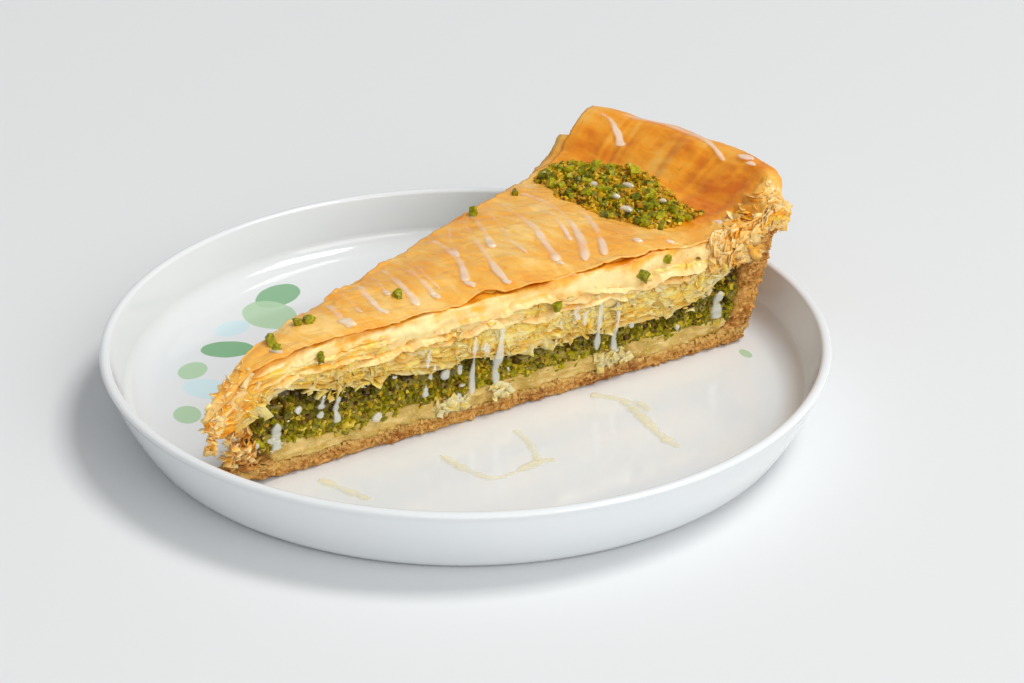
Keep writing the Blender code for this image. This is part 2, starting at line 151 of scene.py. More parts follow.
def solid_wobble(reach, turn, across, seed, reach_size=1.0):
    """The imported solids' own slow waves, read at stations 3 mm and a ninth of the slice apart."""
    reaches = np.arange(-9.0, 163.0, 3.0)
    turns = np.linspace(-HALF_TURN, HALF_TURN, 9)
    table = np.array([[field.noise(Vector((r / reach_size, t * across, seed))) for t in turns]
                      for r in reaches])
    return read_table(table, reaches, turns, reach, turn)


def read_table(table, rows, columns, row, column):
    """Blends a regular table of numbers between its four nearest entries."""
    at_row = np.clip((row - rows[0]) / (rows[1] - rows[0]), 0, len(rows) - 1.001)
    at_column = np.clip((column - columns[0]) / (columns[1] - columns[0]), 0, len(columns) - 1.001)
    at_row, at_column = np.broadcast_arrays(at_row, at_column)
    i, j = at_row.astype(int), at_column.astype(int)
    down, side = at_row - i, at_column - j
    upper = table[i, j] * (1 - side) + table[i, j + 1] * side
    lower = table[i + 1, j] * (1 - side) + table[i + 1, j + 1] * side
    return upper * (1 - down) + lower * down


print(f"noise at three places: {noise(np.arange(3) * 0.4, 0.2, 0.7).round(3)}")

# %% [markdown]
# ## The slice's own coordinates
#
# The plan turns a reach and a turn into a place on the table, with the sharp tip of
# the sector made blunt. Outlines are smooth curves through a few stations, as a
# draughtsman would bend a spline through pins.

# %% Plan and curves
def plan(reach, turn):
    """The place over the table: a circle's sector, its tip rounded by a hyperbola and a bulge."""
    wide = 0.5 * (reach + np.hypot(reach, 2.0 * TIP_WIDTH))
    blunt = np.exp(-np.maximum(reach, 0.0) / TIP_FADE) * (1.0 - (turn / HALF_TURN) ** 2)
    x = PIE_CENTRE[0] + reach - wide * (1.0 - np.cos(turn)) - TIP_BULGE * blunt
    y = PIE_CENTRE[1] + wide * np.sin(turn)
    return x, y


def half_width(reach):
    """Half the slice's width at a reach."""
    return 0.5 * (reach + np.hypot(reach, 2.0 * TIP_WIDTH)) * HALF_TURN


def cut_place(side, reach, out, height):
    """The sector's edge on side -1 or 1, plus a distance along the direction out of that cut."""
    x, y = plan(reach, side * HALF_TURN)
    return np.stack(np.broadcast_arrays(x - math.sin(HALF_TURN) * out + 0.0 * height,
                                        y + side * math.cos(HALF_TURN) * out, height), -1)


def along(stations, share):
    """A share of the way along (reach, height) stations, on a Catmull-Rom curve through them."""
    sizes = [np.shape(value) for station in stations for value in station]
    shape = np.broadcast_shapes(np.shape(share), *sizes)
    points = np.stack([np.stack([np.broadcast_to(value, shape) for value in station], -1)
                       for station in stations])
    lengths = np.linalg.norm(np.diff(points, axis=0), axis=-1)
    ends = np.cumsum(lengths, axis=0)
    distance = np.broadcast_to(share, shape) * ends[-1]
    last = len(stations) - 1
    index = np.clip((distance[None] > ends).sum(0), 0, last - 1)

    def pick(table, place):
        """The table's rows at the given places, one for each share."""
        place = np.clip(place, 0, len(table) - 1)[None]
        if table.ndim > place.ndim:
            place = place[..., None]
        return np.take_along_axis(table, place, axis=0)[0]

    start = np.where(index > 0, pick(ends, index - 1), 0.0)
    t = np.clip((distance - start) / pick(lengths, index), 0.0, 1.0)[..., None]
    before, a, b, after = (pick(points, index + step) for step in (-1, 0, 1, 2))
    return 0.5 * (2 * a + (b - before) * t + (2 * before - 5 * a + 4 * b - after) * t * t
                  + (3 * a - 3 * b + after - before) * t ** 3)


print(f"the blunt tip is at x {plan(0.0, 0.0)[0]:.1f} mm")

# %% [markdown]
# ## Heights of the layers
#
# Each layer's upper side is a function of reach and turn, so that neighbouring layers
# always meet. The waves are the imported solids' own. The nuts rise where the sheets
# broke away from them: near the tip, at the near cut and along the wall.

# %% Heights of the layers
# How much higher the nuts show at the near cut, where the sheets broke away: (reach, height)
OPENED = ((4.0, 0.0), (12.0, 1.2), (20.0, 3.4), (30.0, 5.0), (40.0, 4.0), (50.0, 3.4), (63.0, 2.2),
          (75.0, 0.4), (90.0, 0.0))
TIP_RISE = 5.6
WALL_RISE = 6.2
NEAR_END_DROP = 4.4
NEAR_END_PULL = 3.6


def pastry_height(reach, turn):
    """Where pastry and nuts meet: a level height plus 1.2 mm of slow waves."""
    return PASTRY_TOP + 1.2 * solid_wobble(reach, turn, 2.0, 1.5, 14.0)


def filling_height(reach, turn):
    """Where nuts and sheets meet: higher near the tip, at the near cut and along the wall."""
    tip = TIP_RISE * np.exp(-((reach - 13.0) / 9.0) ** 2)
    wall = WALL_RISE * smooth_step(118.0, 136.0, reach)
    opened = np.interp(reach, *np.array(OPENED).T) * smooth_step(0.1, -0.9, turn / HALF_TURN)
    return FILLING_TOP + tip + wall + opened + 1.6 * solid_wobble(reach, turn, 2.0, 4.5, 13.0)


def wall_reach(height, clearance):
    """The reach of the wall's inner side: a straight lean, less a parabolic fillet at its foot."""
    slope = (WALL_TOP_REACH - BASE_REACH) / (WALL_TOP - SLICE_BOTTOM)
    fillet = INNER_FILLET * np.maximum(1.0 - (height - CRUST_TOP) / INNER_FILLET, 0.0) ** 2
    return BASE_REACH - WALL_THICKNESS + slope * (height - SLICE_BOTTOM) - fillet - clearance


print(f"in the middle the nuts lie between {pastry_height(60.0, 0.0):.1f} and "
      f"{filling_height(60.0, 0.0):.1f} mm")

# %% [markdown]
# ## Outline of the sheets
#
# The baked sheets rise from the blunt tip to a low dome, dip into a valley and sweep up
# into the rim, which leans over the crust's wall. The outline is a curve, so the top's
# height over a place is read from a table of it, made once.

# %% Outline of the sheets
def sheet_top(turn):
    """Stations of the sheets' upper outline from the tip to the rim's outer edge."""
    share = turn / HALF_TURN
    dome = TOP_DOME * (1.0 - share * share)
    near_end = smooth_step(-0.72, -1.0, share)
    shares = np.linspace(-1.0, 1.0, 33)
    crest_wave = np.interp(share, shares, [field.noise(Vector((s * 2.1, 0.0, 31.5))) for s in shares])
    out_wave = np.interp(share, shares, [field.noise(Vector((s * 2.6, 0.0, 35.5))) for s in shares])
    crest = CREST_HEIGHT - NEAR_END_DROP * near_end + 0.9 * crest_wave
    out = CREST_REACH + 1.6 * out_wave - NEAR_END_PULL * near_end
    slope = crest - SLICE_TOP
    flat = 0.0 * share
    return (
        (-4.6 + flat, 23.2), (-1.5 + flat, 27.0), (4.0 + flat, 30.8), (12.0, 33.4 + 0.4 * dome),
        (28.0, SLICE_TOP + 0.8 * dome), (60.0, SLICE_TOP + dome), (98.0, SLICE_TOP + dome),
        (113.0, SLICE_TOP + 0.5 * dome), (124.0, SLICE_TOP - 0.9), (136.5, SLICE_TOP + 0.10 * slope),
        (142.5, SLICE_TOP + 0.50 * slope), (out - 3.0, SLICE_TOP + 0.93 * slope), (out, crest),
        (out + 2.0, crest - 0.3), (RIM_EDGE_REACH - NEAR_END_PULL * near_end, crest - 1.4),
    )


def sheet_under(turn):
    """Stations of the sheets' underside: over the nuts, up inside the wall and out over its top."""
    stations = [(-2.0, 18.0)]
    stations += [(reach, filling_height(reach, turn) + 0.3) for reach in np.arange(6.0, 133.0, 3.0)]
    stations += [(wall_reach(height, WALL_CLEARANCE), height) for height in (26.5, 30.0)]
    stations += [(wall_reach(WALL_TOP, -0.3), WALL_TOP + 0.6), (WALL_TOP_REACH + 3.2, WALL_TOP + 1.4)]
    return stations


def top_outline(u, turn):
    """Reach and height of the creased top sheet at a share u of its outline."""
    lag = 0.022 * np.exp(-((u - 0.93) / 0.05) ** 2)
    point = along(sheet_top(turn), u - lag)
    crease = 0.5 * solid_wobble(point[..., 0], turn, 5.0, 41.5, 16.0)
    point[..., 1] += crease * smooth_step(-5.0, 10.0, point[..., 0])
    return point


TOP_REACHES = np.arange(-4.5, 154.0, 0.5)
TOP_TURNS = np.linspace(-HALF_TURN, HALF_TURN, 33)
outline = top_outline(np.linspace(0.0, 1.0, 401)[:, None], TOP_TURNS[None])
TOP_TABLE = np.stack([np.interp(TOP_REACHES, column[:, 0], column[:, 1])
                      for column in outline.transpose(1, 0, 2)], -1)


def top_height(reach, turn):
    """The height of the top sheet over a reach and a turn."""
    return read_table(TOP_TABLE, TOP_REACHES, TOP_TURNS, reach, turn)


print(f"top sheet from {TOP_TABLE.min():.1f} to {TOP_TABLE.max():.1f} mm high")

# %% [markdown]
# ## From arrays to pieces
#
# A box lattice's outer skin is the base of most layers: it is closed, its seams share
# their corners, and every corner can be moved by a formula. The same few lines put
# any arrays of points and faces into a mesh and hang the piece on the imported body.

# %% Mesh helpers
def box_skin(counts):
    """Whole-number corners on the outside of a box lattice, and its quads, which face outward."""
    quads = []
    for axis in range(3):
        first, second = (axis + 1) % 3, (axis + 2) % 3
        a, b = np.meshgrid(np.arange(counts[first]), np.arange(counts[second]), indexing="ij")
        for side in (0, counts[axis]):
            ring = np.zeros((a.size, 4, 3), int)
            ring[..., axis] = side
            for corner, (da, db) in enumerate(((0, 0), (1, 0), (1, 1), (0, 1))):
                ring[:, corner, first] = a.ravel() + da
                ring[:, corner, second] = b.ravel() + db
            quads.append(ring if side else ring[:, ::-1])
    quads = np.concatenate(quads)
    spans = np.array(counts) + 1
    code = (quads[..., 0] * spans[1] + quads[..., 1]) * spans[2] + quads[..., 2]
    used, faces = np.unique(code, return_inverse=True)
    places = np.stack((used // (spans[1] * spans[2]), used // spans[2] % spans[1], used % spans[2]), -1)
    return places, faces.reshape(code.shape)


def corner_normals(points, faces):
    """The way each corner faces: the sum of its faces' cross products, made one long."""
    first = points[faces[:, 2]] - points[faces[:, 0]]
    across = np.cross(first, points[faces[:, -1]] - points[faces[:, 1]])
    total = np.zeros_like(points)
    for corner in range(faces.shape[1]):
        np.add.at(total, faces[:, corner], across)
    return total / np.maximum(np.linalg.norm(total, axis=1), 1e-9)[:, None]


def roughen(points, faces, amount):
    """Moves each corner along its own direction by an amount, in mm."""
    return points + corner_normals(points, faces) * amount[:, None]


def join(parts):
    """Joins (points, faces) pairs into one pair."""
    starts = np.cumsum([0] + [len(points) for points, _ in parts[:-1]])
    return (np.concatenate([points for points, _ in parts]),
            np.concatenate([faces + start for (_, faces), start in zip(parts, starts)]))


def volume(points, faces):
    """The volume inside closed faces: a sixth of the triple products of their triangles."""
    total = 0.0
    for corner in range(1, faces.shape[1] - 1):
        a, b, c = (points[faces[:, k]] for k in (0, corner, corner + 1))
        total += (a * np.cross(b, c)).sum() / 6.0
    return total


def ringed_skin(points, rows, columns):
    """Triangles over rings of corners, closed by fans to the last two points, all facing outward."""
    number = np.arange(rows * columns).reshape(rows, columns)
    beside = np.roll(number, -1, axis=1)
    faces = np.concatenate((
        np.stack((number[:-1], beside[:-1], beside[1:]), -1).reshape(-1, 3),
        np.stack((number[:-1], beside[1:], number[1:]), -1).reshape(-1, 3),
        np.stack((np.full(columns, rows * columns), beside[0], number[0]), -1),
        np.stack((np.full(columns, rows * columns + 1), number[-1], beside[-1]), -1)))
    return points, faces if volume(points, faces) > 0 else faces[:, ::-1]


places, faces = box_skin((2, 2, 2))
print(f"smallest skin: {len(places)} corners, {len(faces)} quads, volume {volume(places, faces):.0f}")

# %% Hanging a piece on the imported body
def add_piece(name, shape, finish, stands_for=None, tone=None, crisp=None):
    """Makes a mesh of points in mm, gives it a finish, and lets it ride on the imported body."""
    points, faces = shape
    mesh = bpy.data.meshes.new(name)
    mesh.vertices.add(len(points))
    mesh.vertices.foreach_set("co", (points * MM).astype(np.float32).ravel())
    mesh.loops.add(faces.size)
    mesh.loops.foreach_set("vertex_index", faces.astype(np.int32).ravel())
    mesh.polygons.add(len(faces))
    mesh.polygons.foreach_set("loop_start", np.arange(0, faces.size, faces.shape[1], dtype=np.int32))
    mesh.update(calc_edges=True)
    mesh.shade_smooth()
    if crisp:
        mesh.set_sharp_from_angle(angle=math.radians(crisp))
    if tone is not None:
        mesh.attributes.new("tone", "FLOAT", "POINT").data.foreach_set("value", tone.astype(np.float32))
    mesh.materials.append(finish.material)
    piece = bpy.data.objects.new(name, mesh)
    bpy.context.scene.collection.objects.link(piece)
    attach(piece, "root")
    if stands_for:
        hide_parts(stands_for)
    triangles = len(faces) * (faces.shape[1] - 2)
    inside = volume(points, faces) / 1000
    print(f"{name}: {triangles} triangles, {inside:.2f} cm3, top {points[:, 2].max():.1f} mm")


print(f"{len(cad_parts)} packed nodes wait for their pieces")

# %% [markdown]
# ## Shader maths as plain sums
#
# A finish is a Principled shader fed by a few patterns. The Signal class wraps a
# socket, so that a + b or 1 - mask adds the Math nodes by itself, and the Finish
# class adds any other node with one call. Colours are read as they look on a screen
# and turned into the linear values that a shader needs.

# %% Shader helpers
def screen(red, green, blue):
    """A screen colour from 0 to 255 as the linear colour that looks the same."""
    levels = [value / 255.0 for value in (red, green, blue)]
    linear = [v / 12.92 if v <= 0.04045 else ((v + 0.055) / 1.055) ** 2.4 for v in levels]
    return (*linear, 1.0)


class Signal:
    """One output of a node. Its operators add Math nodes."""

    def __init__(self, finish, socket):
        self.finish = finish
        self.socket = socket

    def math(self, operation, *values):
        """A Math node with this operation on signals or numbers."""
        inputs = dict(enumerate(values))
        return self.finish.node("ShaderNodeMath", {"operation": operation}, inputs)

    def __add__(self, other):
        return self.math("ADD", self, other)

    __radd__ = __add__

    def __sub__(self, other):
        return self.math("SUBTRACT", self, other)

    def __rsub__(self, other):
        return self.math("SUBTRACT", other, self)

    def __mul__(self, other):
        return self.math("MULTIPLY", self, other)

    __rmul__ = __mul__

    def between(self, low, high):
        """0 below low, 1 above high, and a smooth ramp between them."""
        settings = {"interpolation_type": "SMOOTHSTEP"}
        values = {"Value": self, "From Min": low, "From Max": high}
        return self.finish.node("ShaderNodeMapRange", settings, values)


class Finish:
    """A material under construction, with its Principled shader."""

    def __init__(self, name, **fixed):
        self.material = bpy.data.materials.new(name)
        self.material.use_nodes = True
        self.tree = self.material.node_tree
        self.shader = self.tree.nodes["Principled BSDF"]
        for socket, value in fixed.items():
            self.feed(self.shader.inputs[socket.replace("_", " ")], value)
        self.place = self.node("ShaderNodeTexCoord", output="Object")

    def feed(self, socket, value):
        """Links a signal to a socket, or sets the socket's constant."""
        if isinstance(value, Signal):
            self.tree.links.new(value.socket, socket)
        else:
            socket.default_value = value

    def node(self, kind, settings=None, values=None, output=0):
        """Any node: its settings first, a colour ramp's stops among them, then its inputs."""
        made = self.tree.nodes.new(kind)
        for key, value in (settings or {}).items():
            if key == "stops":
                stops = made.color_ramp.elements
                for index, (position, color) in enumerate(value):
                    stop = stops[index] if index < 2 else stops.new(position)
                    stop.position = position
                    stop.color = color
            else:
                setattr(made, key, value)
        for key, value in (values or {}).items():
            self.feed(made.inputs[key], value)
        return Signal(self, made.outputs[output])

    def speckle(self, size, detail=3.0, stretch=(1.0, 1.0, 1.0)):
        """Noise whose blots are about size mm across, longer where stretch is below 1."""
        scale = tuple(value / (size * MM) for value in stretch)
        place = self.node("ShaderNodeMapping", {}, {"Vector": self.place, "Scale": scale})
        return self.node("ShaderNodeTexNoise", {}, {"Vector": place, "Scale": 1.0, "Detail": detail})

    def mix(self, share, first, second, blend="MIX"):
        """A colour between two, by a share from 0 to 1."""
        settings = {"data_type": "RGBA", "blend_type": blend}
        return self.node("ShaderNodeMix", settings, {0: share, 6: first, 7: second}, output=2)

    def ramp(self, share, *stops):
        """A colour read off (position, colour) stops at a share from 0 to 1: the two ends come first."""
        return self.node("ShaderNodeValToRGB", {"stops": stops}, {"Fac": share})

    def tone(self):
        """The piece's own tone attribute."""
        return self.node("ShaderNodeAttribute", {"attribute_name": "tone"}, output="Fac")

    def paint(self, color, roughness=None, height=None, depth=0.1, strength=0.6):
        """Feeds the shader's colour, its roughness, and a bump of a depth in mm."""
        self.feed(self.shader.inputs["Base Color"], color)
        if roughness is not None:
            self.feed(self.shader.inputs["Roughness"], roughness)
        if height is not None:
            values = {"Height": height, "Distance": depth * MM, "Strength": strength}
            self.feed(self.shader.inputs["Normal"], self.node("ShaderNodeBump", {}, values))
        return self


print("a mid grey on screen is", round(screen(128, 128, 128)[0], 3), "in linear light")

# %% [markdown]
# ## Camera
#
# The photograph was taken with a long lens, about 27 degrees above the table and at
# 45 degrees to the slice. A camera could be aimed by a constraint. A matrix made from
# the direction of view and a small roll fits the photograph closer.

# %% Camera
CAMERA_PLACE = Vector((-0.35047, -0.36595, 0.26977))
CAMERA_VIEW = Vector((0.6312, 0.6319, -0.4498)).normalized()
CAMERA_ROLL = math.radians(0.224)

camera_data = bpy.data.cameras.new("camera")
camera_data.lens = 85.0
camera_data.sensor_width = 36.0
camera_data.clip_start = 0.01
camera = bpy.data.objects.new("camera", camera_data)
bpy.context.scene.collection.objects.link(camera)
level_right = CAMERA_VIEW.cross(Vector((0.0, 0.0, 1.0))).normalized()
level_up = level_right.cross(CAMERA_VIEW)
camera_right = level_right * math.cos(CAMERA_ROLL) + level_up * math.sin(CAMERA_ROLL)
camera_up = camera_right.cross(CAMERA_VIEW)
camera.matrix_world = Matrix.Translation(CAMERA_PLACE) @ Matrix((
    camera_right, camera_up, -CAMERA_VIEW)).transposed().to_4x4()
bpy.context.scene.camera = camera
print(f"camera {CAMERA_PLACE.length:.2f} m from the plate's middle")

# %% [markdown]
# ## Table and light
#
# The table is a pale sheet without a visible edge. The photograph has a bright soft
# light high on the right, which throws the plate's shadow to the left. A sky picture
# could light the slice too, but three panels and a white room are easier to steer: a
# warm one high on the right, a wide one between it and the camera, and a low one
# behind the camera that fills the near cut.

# %% Table and lights
TABLE_SIZE = 3000.0


def add_table():
    """A flat pale sheet under the plate."""
    corners = np.array([(-1, -1, 0), (1, -1, 0), (1, 1, 0), (-1, 1, 0)]) * TABLE_SIZE * MM
    mesh = bpy.data.meshes.new("table")
    mesh.from_pydata(corners.tolist(), [], [(0, 1, 2, 3)])
    finish = Finish("table_paper", Roughness=0.75)
    grain = finish.speckle(900.0, 1.0)
    finish.paint(finish.mix(grain.between(0.3, 0.7), screen(221, 223, 224), screen(225, 227, 228)))
    mesh.materials.append(finish.material)
    table = bpy.data.objects.new("table", mesh)
    bpy.context.scene.collection.objects.link(table)


def add_panel(name, azimuth, elevation, distance, size, power, color=(1.0, 1.0, 1.0)):
    """A square soft light that looks at the slice. Azimuth 0 is behind the camera, 90 to its right."""
    turn = math.radians(azimuth - 135.0)
    rise = math.radians(elevation)
    away = Vector((math.cos(turn) * math.cos(rise), math.sin(turn) * math.cos(rise), math.sin(rise)))
    data = bpy.data.lights.new(name, "AREA")
    data.shape = "SQUARE"
    data.size = size
    data.energy = power
    data.color = color
    panel = bpy.data.objects.new(name, data)
    bpy.context.scene.collection.objects.link(panel)
    panel.matrix_world = (Matrix.Translation(away * distance)
                          @ away.to_track_quat("Z", "Y").to_matrix().to_4x4())


add_table()
add_panel("window_panel", 104.0, 62.0, 4.0, 1.23, 85.0, (1.0, 0.985, 0.96))
add_panel("fill_panel", 48.0, 33.0, 3.0, 1.83, 29.0, (1.0, 0.995, 0.985))
add_panel("front_panel", 8.0, 24.0, 3.0, 2.40, 24.0)
room = bpy.data.worlds.new("room")
room.use_nodes = True
room.node_tree.nodes["Background"].inputs["Color"].default_value = (0.97, 0.98, 1.0, 1.0)
room.node_tree.nodes["Background"].inputs["Strength"].default_value = 0.37
bpy.context.scene.world = room
bpy.context.scene.view_settings.view_transform = "Standard"

# %% [markdown]
# ## The plate
#
# The real plate is glazed porcelain: a flat floor, a rounded corner, a low flared wall
# and a thin rounded lip. It could be cut from a cylinder, but a turned profile is the
# natural way to make it, with both ends on the axis closed by fans of triangles.

# %% Plate shape
PLATE_COLUMNS = 256


def plate_profile():
    """(radius, height): floor, quarter ellipse, half ellipse of the lip, bowed outside, foot ring."""
    quarter = np.linspace(0.0, math.pi / 2, 16)
    corner = np.stack((FLAT_FLOOR_RADIUS + (INNER_CORNER[0] - FLAT_FLOOR_RADIUS) * np.sin(quarter),
                       PLATE_FLOOR + (INNER_CORNER[1] - PLATE_FLOOR) * (1 - np.cos(quarter))), -1)
    over = np.linspace(math.pi, 0.0, 13)
    lip = np.stack((PLATE_RADIUS - PLATE_LIP / 2 * (1 - np.cos(over)),
                    PLATE_HEIGHT - 0.9 * (1 - np.sin(over))), -1)
    floor = np.stack((np.linspace(2.0, FLAT_FLOOR_RADIUS - 1.5, 22), np.full(22, PLATE_FLOOR)), -1)
    heights = np.linspace(PLATE_HEIGHT - 1.6, 1.6, 14)
    bow = 0.8 * np.sin(math.pi * heights / PLATE_HEIGHT)
    flare = (PLATE_RADIUS - PLATE_BASE_RADIUS) * heights / PLATE_HEIGHT
    outside = np.stack((PLATE_BASE_RADIUS + flare + bow, heights), -1)
    foot = np.array(((76.6, 0.8), (76.0, 0.25), (75.2, 0.0), (73.4, 0.0), (71.6, 0.0), (70.4, 0.1),
                     (69.6, 0.5), (69.0, 0.95), (66.0, 1.0), (40.0, 1.0), (4.0, 1.0)))
    return np.concatenate((floor, corner, lip, outside, foot))


def turned(profile, columns):
    """A profile spun round the Z axis, with a corner on the axis at each end."""
    angle = np.linspace(0.0, math.tau, columns, endpoint=False)
    ring = np.stack((profile[:, 0, None] * np.cos(angle), profile[:, 0, None] * np.sin(angle),
                     np.broadcast_to(profile[:, 1, None], (len(profile), columns))), -1)
    points = np.concatenate((ring.reshape(-1, 3), [(0, 0, profile[0, 1]), (0, 0, profile[-1, 1])]))
    return ringed_skin(points, len(profile), columns)


print(f"the plate's profile has {len(plate_profile())} places")

# %% [markdown]
# ## The plate's glaze
#
# White glaze with a plain decoration under it: rounded pebbles in soft green and pale
# blue. They could be painted on an image. Here they are patterns in the shader, worked
# out from the place on the floor, so they stay sharp and the glaze over them smooth.

# %% Plate glaze
# Pebbles: place and half sizes in mm, turn in degrees, and which of the three colours
PEBBLES = (
    (-2.0, 67.0, 7.5, 5.0, 20, 0), (-10.5, 60.0, 8.5, 6.5, 75, 1), (-22.0, 60.5, 5.0, 3.6, 10, 2),
    (-30.0, 52.5, 6.5, 4.4, 140, 0), (-43.0, 49.5, 4.6, 3.4, 30, 1), (-46.5, 40.0, 6.2, 4.6, 100, 2),
    (-57.5, 33.0, 4.4, 3.2, 60, 1), (52.0, 44.0, 6.4, 4.4, 130, 2), (60.5, 33.0, 4.4, 3.4, 60, 1),
    (38.0, 55.0, 4.2, 3.2, 20, 0), (58.0, -37.0, 2.4, 1.3, 70, 1),
)
PEBBLE_COLORS = (screen(112, 172, 118), screen(172, 206, 166), screen(206, 231, 237))


def plate_glaze():
    """White glaze in two close shades by slow noise, with pebbles under it on the floor."""
    finish = Finish("white_glaze", Roughness=0.09, IOR=1.5)
    x, y, z = (finish.node("ShaderNodeSeparateXYZ", {}, {0: finish.place}, axis) for axis in range(3))
    cloud = finish.speckle(40.0, 2.0)
    color = finish.mix(cloud.between(0.3, 0.7), screen(225, 229, 231), screen(229, 231, 232))
    on_floor = z.between(0.003, 0.0032)
    edge = finish.speckle(5.0, 1.0).between(0.2, 0.8) * 0.10
    for middle_x, middle_y, long, short, degrees, kind in PEBBLES:
        cosine, sine = math.cos(math.radians(degrees)), math.sin(math.radians(degrees))
        right, up = x - middle_x * MM, y - middle_y * MM
        lengthwise = (right * cosine + up * sine) * (1.0 / (long * MM))
        crosswise = (up * cosine - right * sine) * (1.0 / (short * MM))
        inside = 1.0 - (lengthwise * lengthwise + crosswise * crosswise + edge).between(0.97, 1.08)
        color = finish.mix(inside * on_floor * 0.9, color, PEBBLE_COLORS[kind])
    return finish.paint(color)


add_piece("dessert_plate", turned(plate_profile(), PLATE_COLUMNS), plate_glaze(), "plate")

# %% [markdown]
# ## Layers of the slice
#
# Each layer is the skin of a box lattice bent into the sector: one lattice direction
# runs from the tip to the rim, one from the near cut to the far cut, one upwards. The
# two cut faces get a relief of their own, because a knife tears every layer in its
# own way: the crust crumbles, the sheets splinter, the nuts stand out as lumps. Every
# relief takes the same four numbers: reach, height, level in the layer, and side.

# %% Layer helper
def slice_layer(counts, lower, upper, relief, spread=1.0):
    """A closed layer between two outlines, and how far the relief moved its cuts' corners out."""
    places, faces = box_skin(counts)
    u = (np.arange(counts[0] + 1) / counts[0])[:, None] ** spread
    turns = HALF_TURN * np.linspace(-1.0, 1.0, counts[1] + 1)
    i, j, k = places.T
    level = k / counts[2]
    low = lower(u, turns[None])[i, j]
    high = upper(u, turns[None])[i, j]
    reach, height = (low + (high - low) * level[:, None]).T
    side = np.where(j == 0, -1.0, np.where(j == counts[1], 1.0, 0.0))
    out = relief(reach, height, level, side) * away_from_tip(reach) * np.abs(side)
    x, y = plan(reach, turns[j])
    points = np.stack((x - np.sin(turns[j]) * side * out, y + np.cos(turns[j]) * side * out, height), -1)
    return points, faces, out


def outline_curve(start, height, share):
    """An outline at height(reach, turn) from start to the wall, whose end leans as the wall does."""

    def curve(u, turn):
        """Reach and height: the lean comes in with the sixth power of the share u."""
        flat_end = wall_reach(CRUST_TOP + INNER_FILLET, WALL_CLEARANCE)
        reach = start + (flat_end - start) * u + 0.0 * turn
        level = height(reach, turn) + share * 0.3
        lean = wall_reach(level, WALL_CLEARANCE) - flat_end
        return np.stack((reach + lean * u ** 6, level), -1)

    return curve


print(f"the slice is {2 * half_width(BASE_REACH):.0f} mm wide at its wall")

# %% [markdown]
# ## The crust
#
# A shortcrust base with a leaning wall, baked hard and brown. Its faces are sandy and
# full of small grains and pits. A displacement modifier could roughen them. Here the
# lattice is fine and every corner moves along its own direction by noise in three
# sizes, so that the height of a place can decide how rough it is.

# %% Crust shape
CRUST_START = 3.0
CURL_HEIGHT = 3.2
CURL_REACH = 14.0


def tip_curl(reach):
    """How far the crust's tip curls up: a parabola that ends at CURL_REACH."""
    return CURL_HEIGHT * np.maximum(1.0 - reach / CURL_REACH, 0.0) ** 2


def crust_curve(inside):
    """The crust's outside or inside: along the base, then up the wall, with the tip curled up."""
    slope = (WALL_TOP_REACH - BASE_REACH) / (WALL_TOP - SLICE_BOTTOM)
    shares = np.linspace(0.06, 1.0, 14)
    if inside:
        end = BASE_REACH - WALL_THICKNESS - INNER_FILLET
        heights = CRUST_TOP + shares * (WALL_TOP - 0.6 - CRUST_TOP)
        reaches = wall_reach(heights, 0.0)
        base_height = CRUST_TOP
    else:
        end = BASE_REACH - 2.0
        heights = SLICE_BOTTOM + shares * (WALL_TOP - SLICE_BOTTOM)
        reaches = BASE_REACH + slope * (heights - SLICE_BOTTOM)
        base_height = SLICE_BOTTOM
    base = np.linspace(CRUST_START, end, 30)
    reaches = np.concatenate((base, reaches))
    heights = np.concatenate((np.full(30, base_height), heights))
    stations = np.linspace(0.0, 1.0, len(reaches))

    def curve(u, turn):
        """Reach and height read off the stations at a share u, plus the tip's curl."""
        reach = np.interp(u, stations, reaches) + 0.0 * turn
        return np.stack((reach, np.interp(u, stations, heights) + tip_curl(reach)), -1)

    return curve


def crust_relief(reach, height, level, side):
    """Four octaves of crumbs, less 0.6 mm where another noise is high enough for a pit."""
    crumbs = rough(reach / 1.7, height / 1.4, side * 3.0, 12, 4)
    pits = smooth_step(0.35, 0.8, noise(reach / 1.2, height / 0.9, side * 5.0, 15))
    return 0.45 * crumbs - 0.6 * pits + 0.2


def crust_shape():
    """The bent slab with noise in three sizes, much weaker where it rests on the plate."""
    points, faces = slice_layer((330, 44, 12), crust_curve(False), crust_curve(True), crust_relief)[:2]
    x, y, z = points.T
    grain = 0.35 * rough(x / 1.9, y / 1.9, z / 1.6, 18, 3) + 0.12 * noise(x / 0.5, y / 0.5, z / 0.5, 19)
    above_plate = smooth_step(SLICE_BOTTOM, SLICE_BOTTOM + 0.8, z)
    return roughen(points, faces, grain * (0.15 + 0.85 * above_plate)), faces


print(f"the crust's tip curls up by {tip_curl(CRUST_START):.1f} mm")

# %% [markdown]
# ## The crust's finish
#
# Butter pastry browns unevenly: golden brown, with darker baked patches, pale grains
# and reddish specks, and a paler line where syrup soaked its top. A photograph could
# be wrapped round it, but noise in object space has no seams and no stretched places.

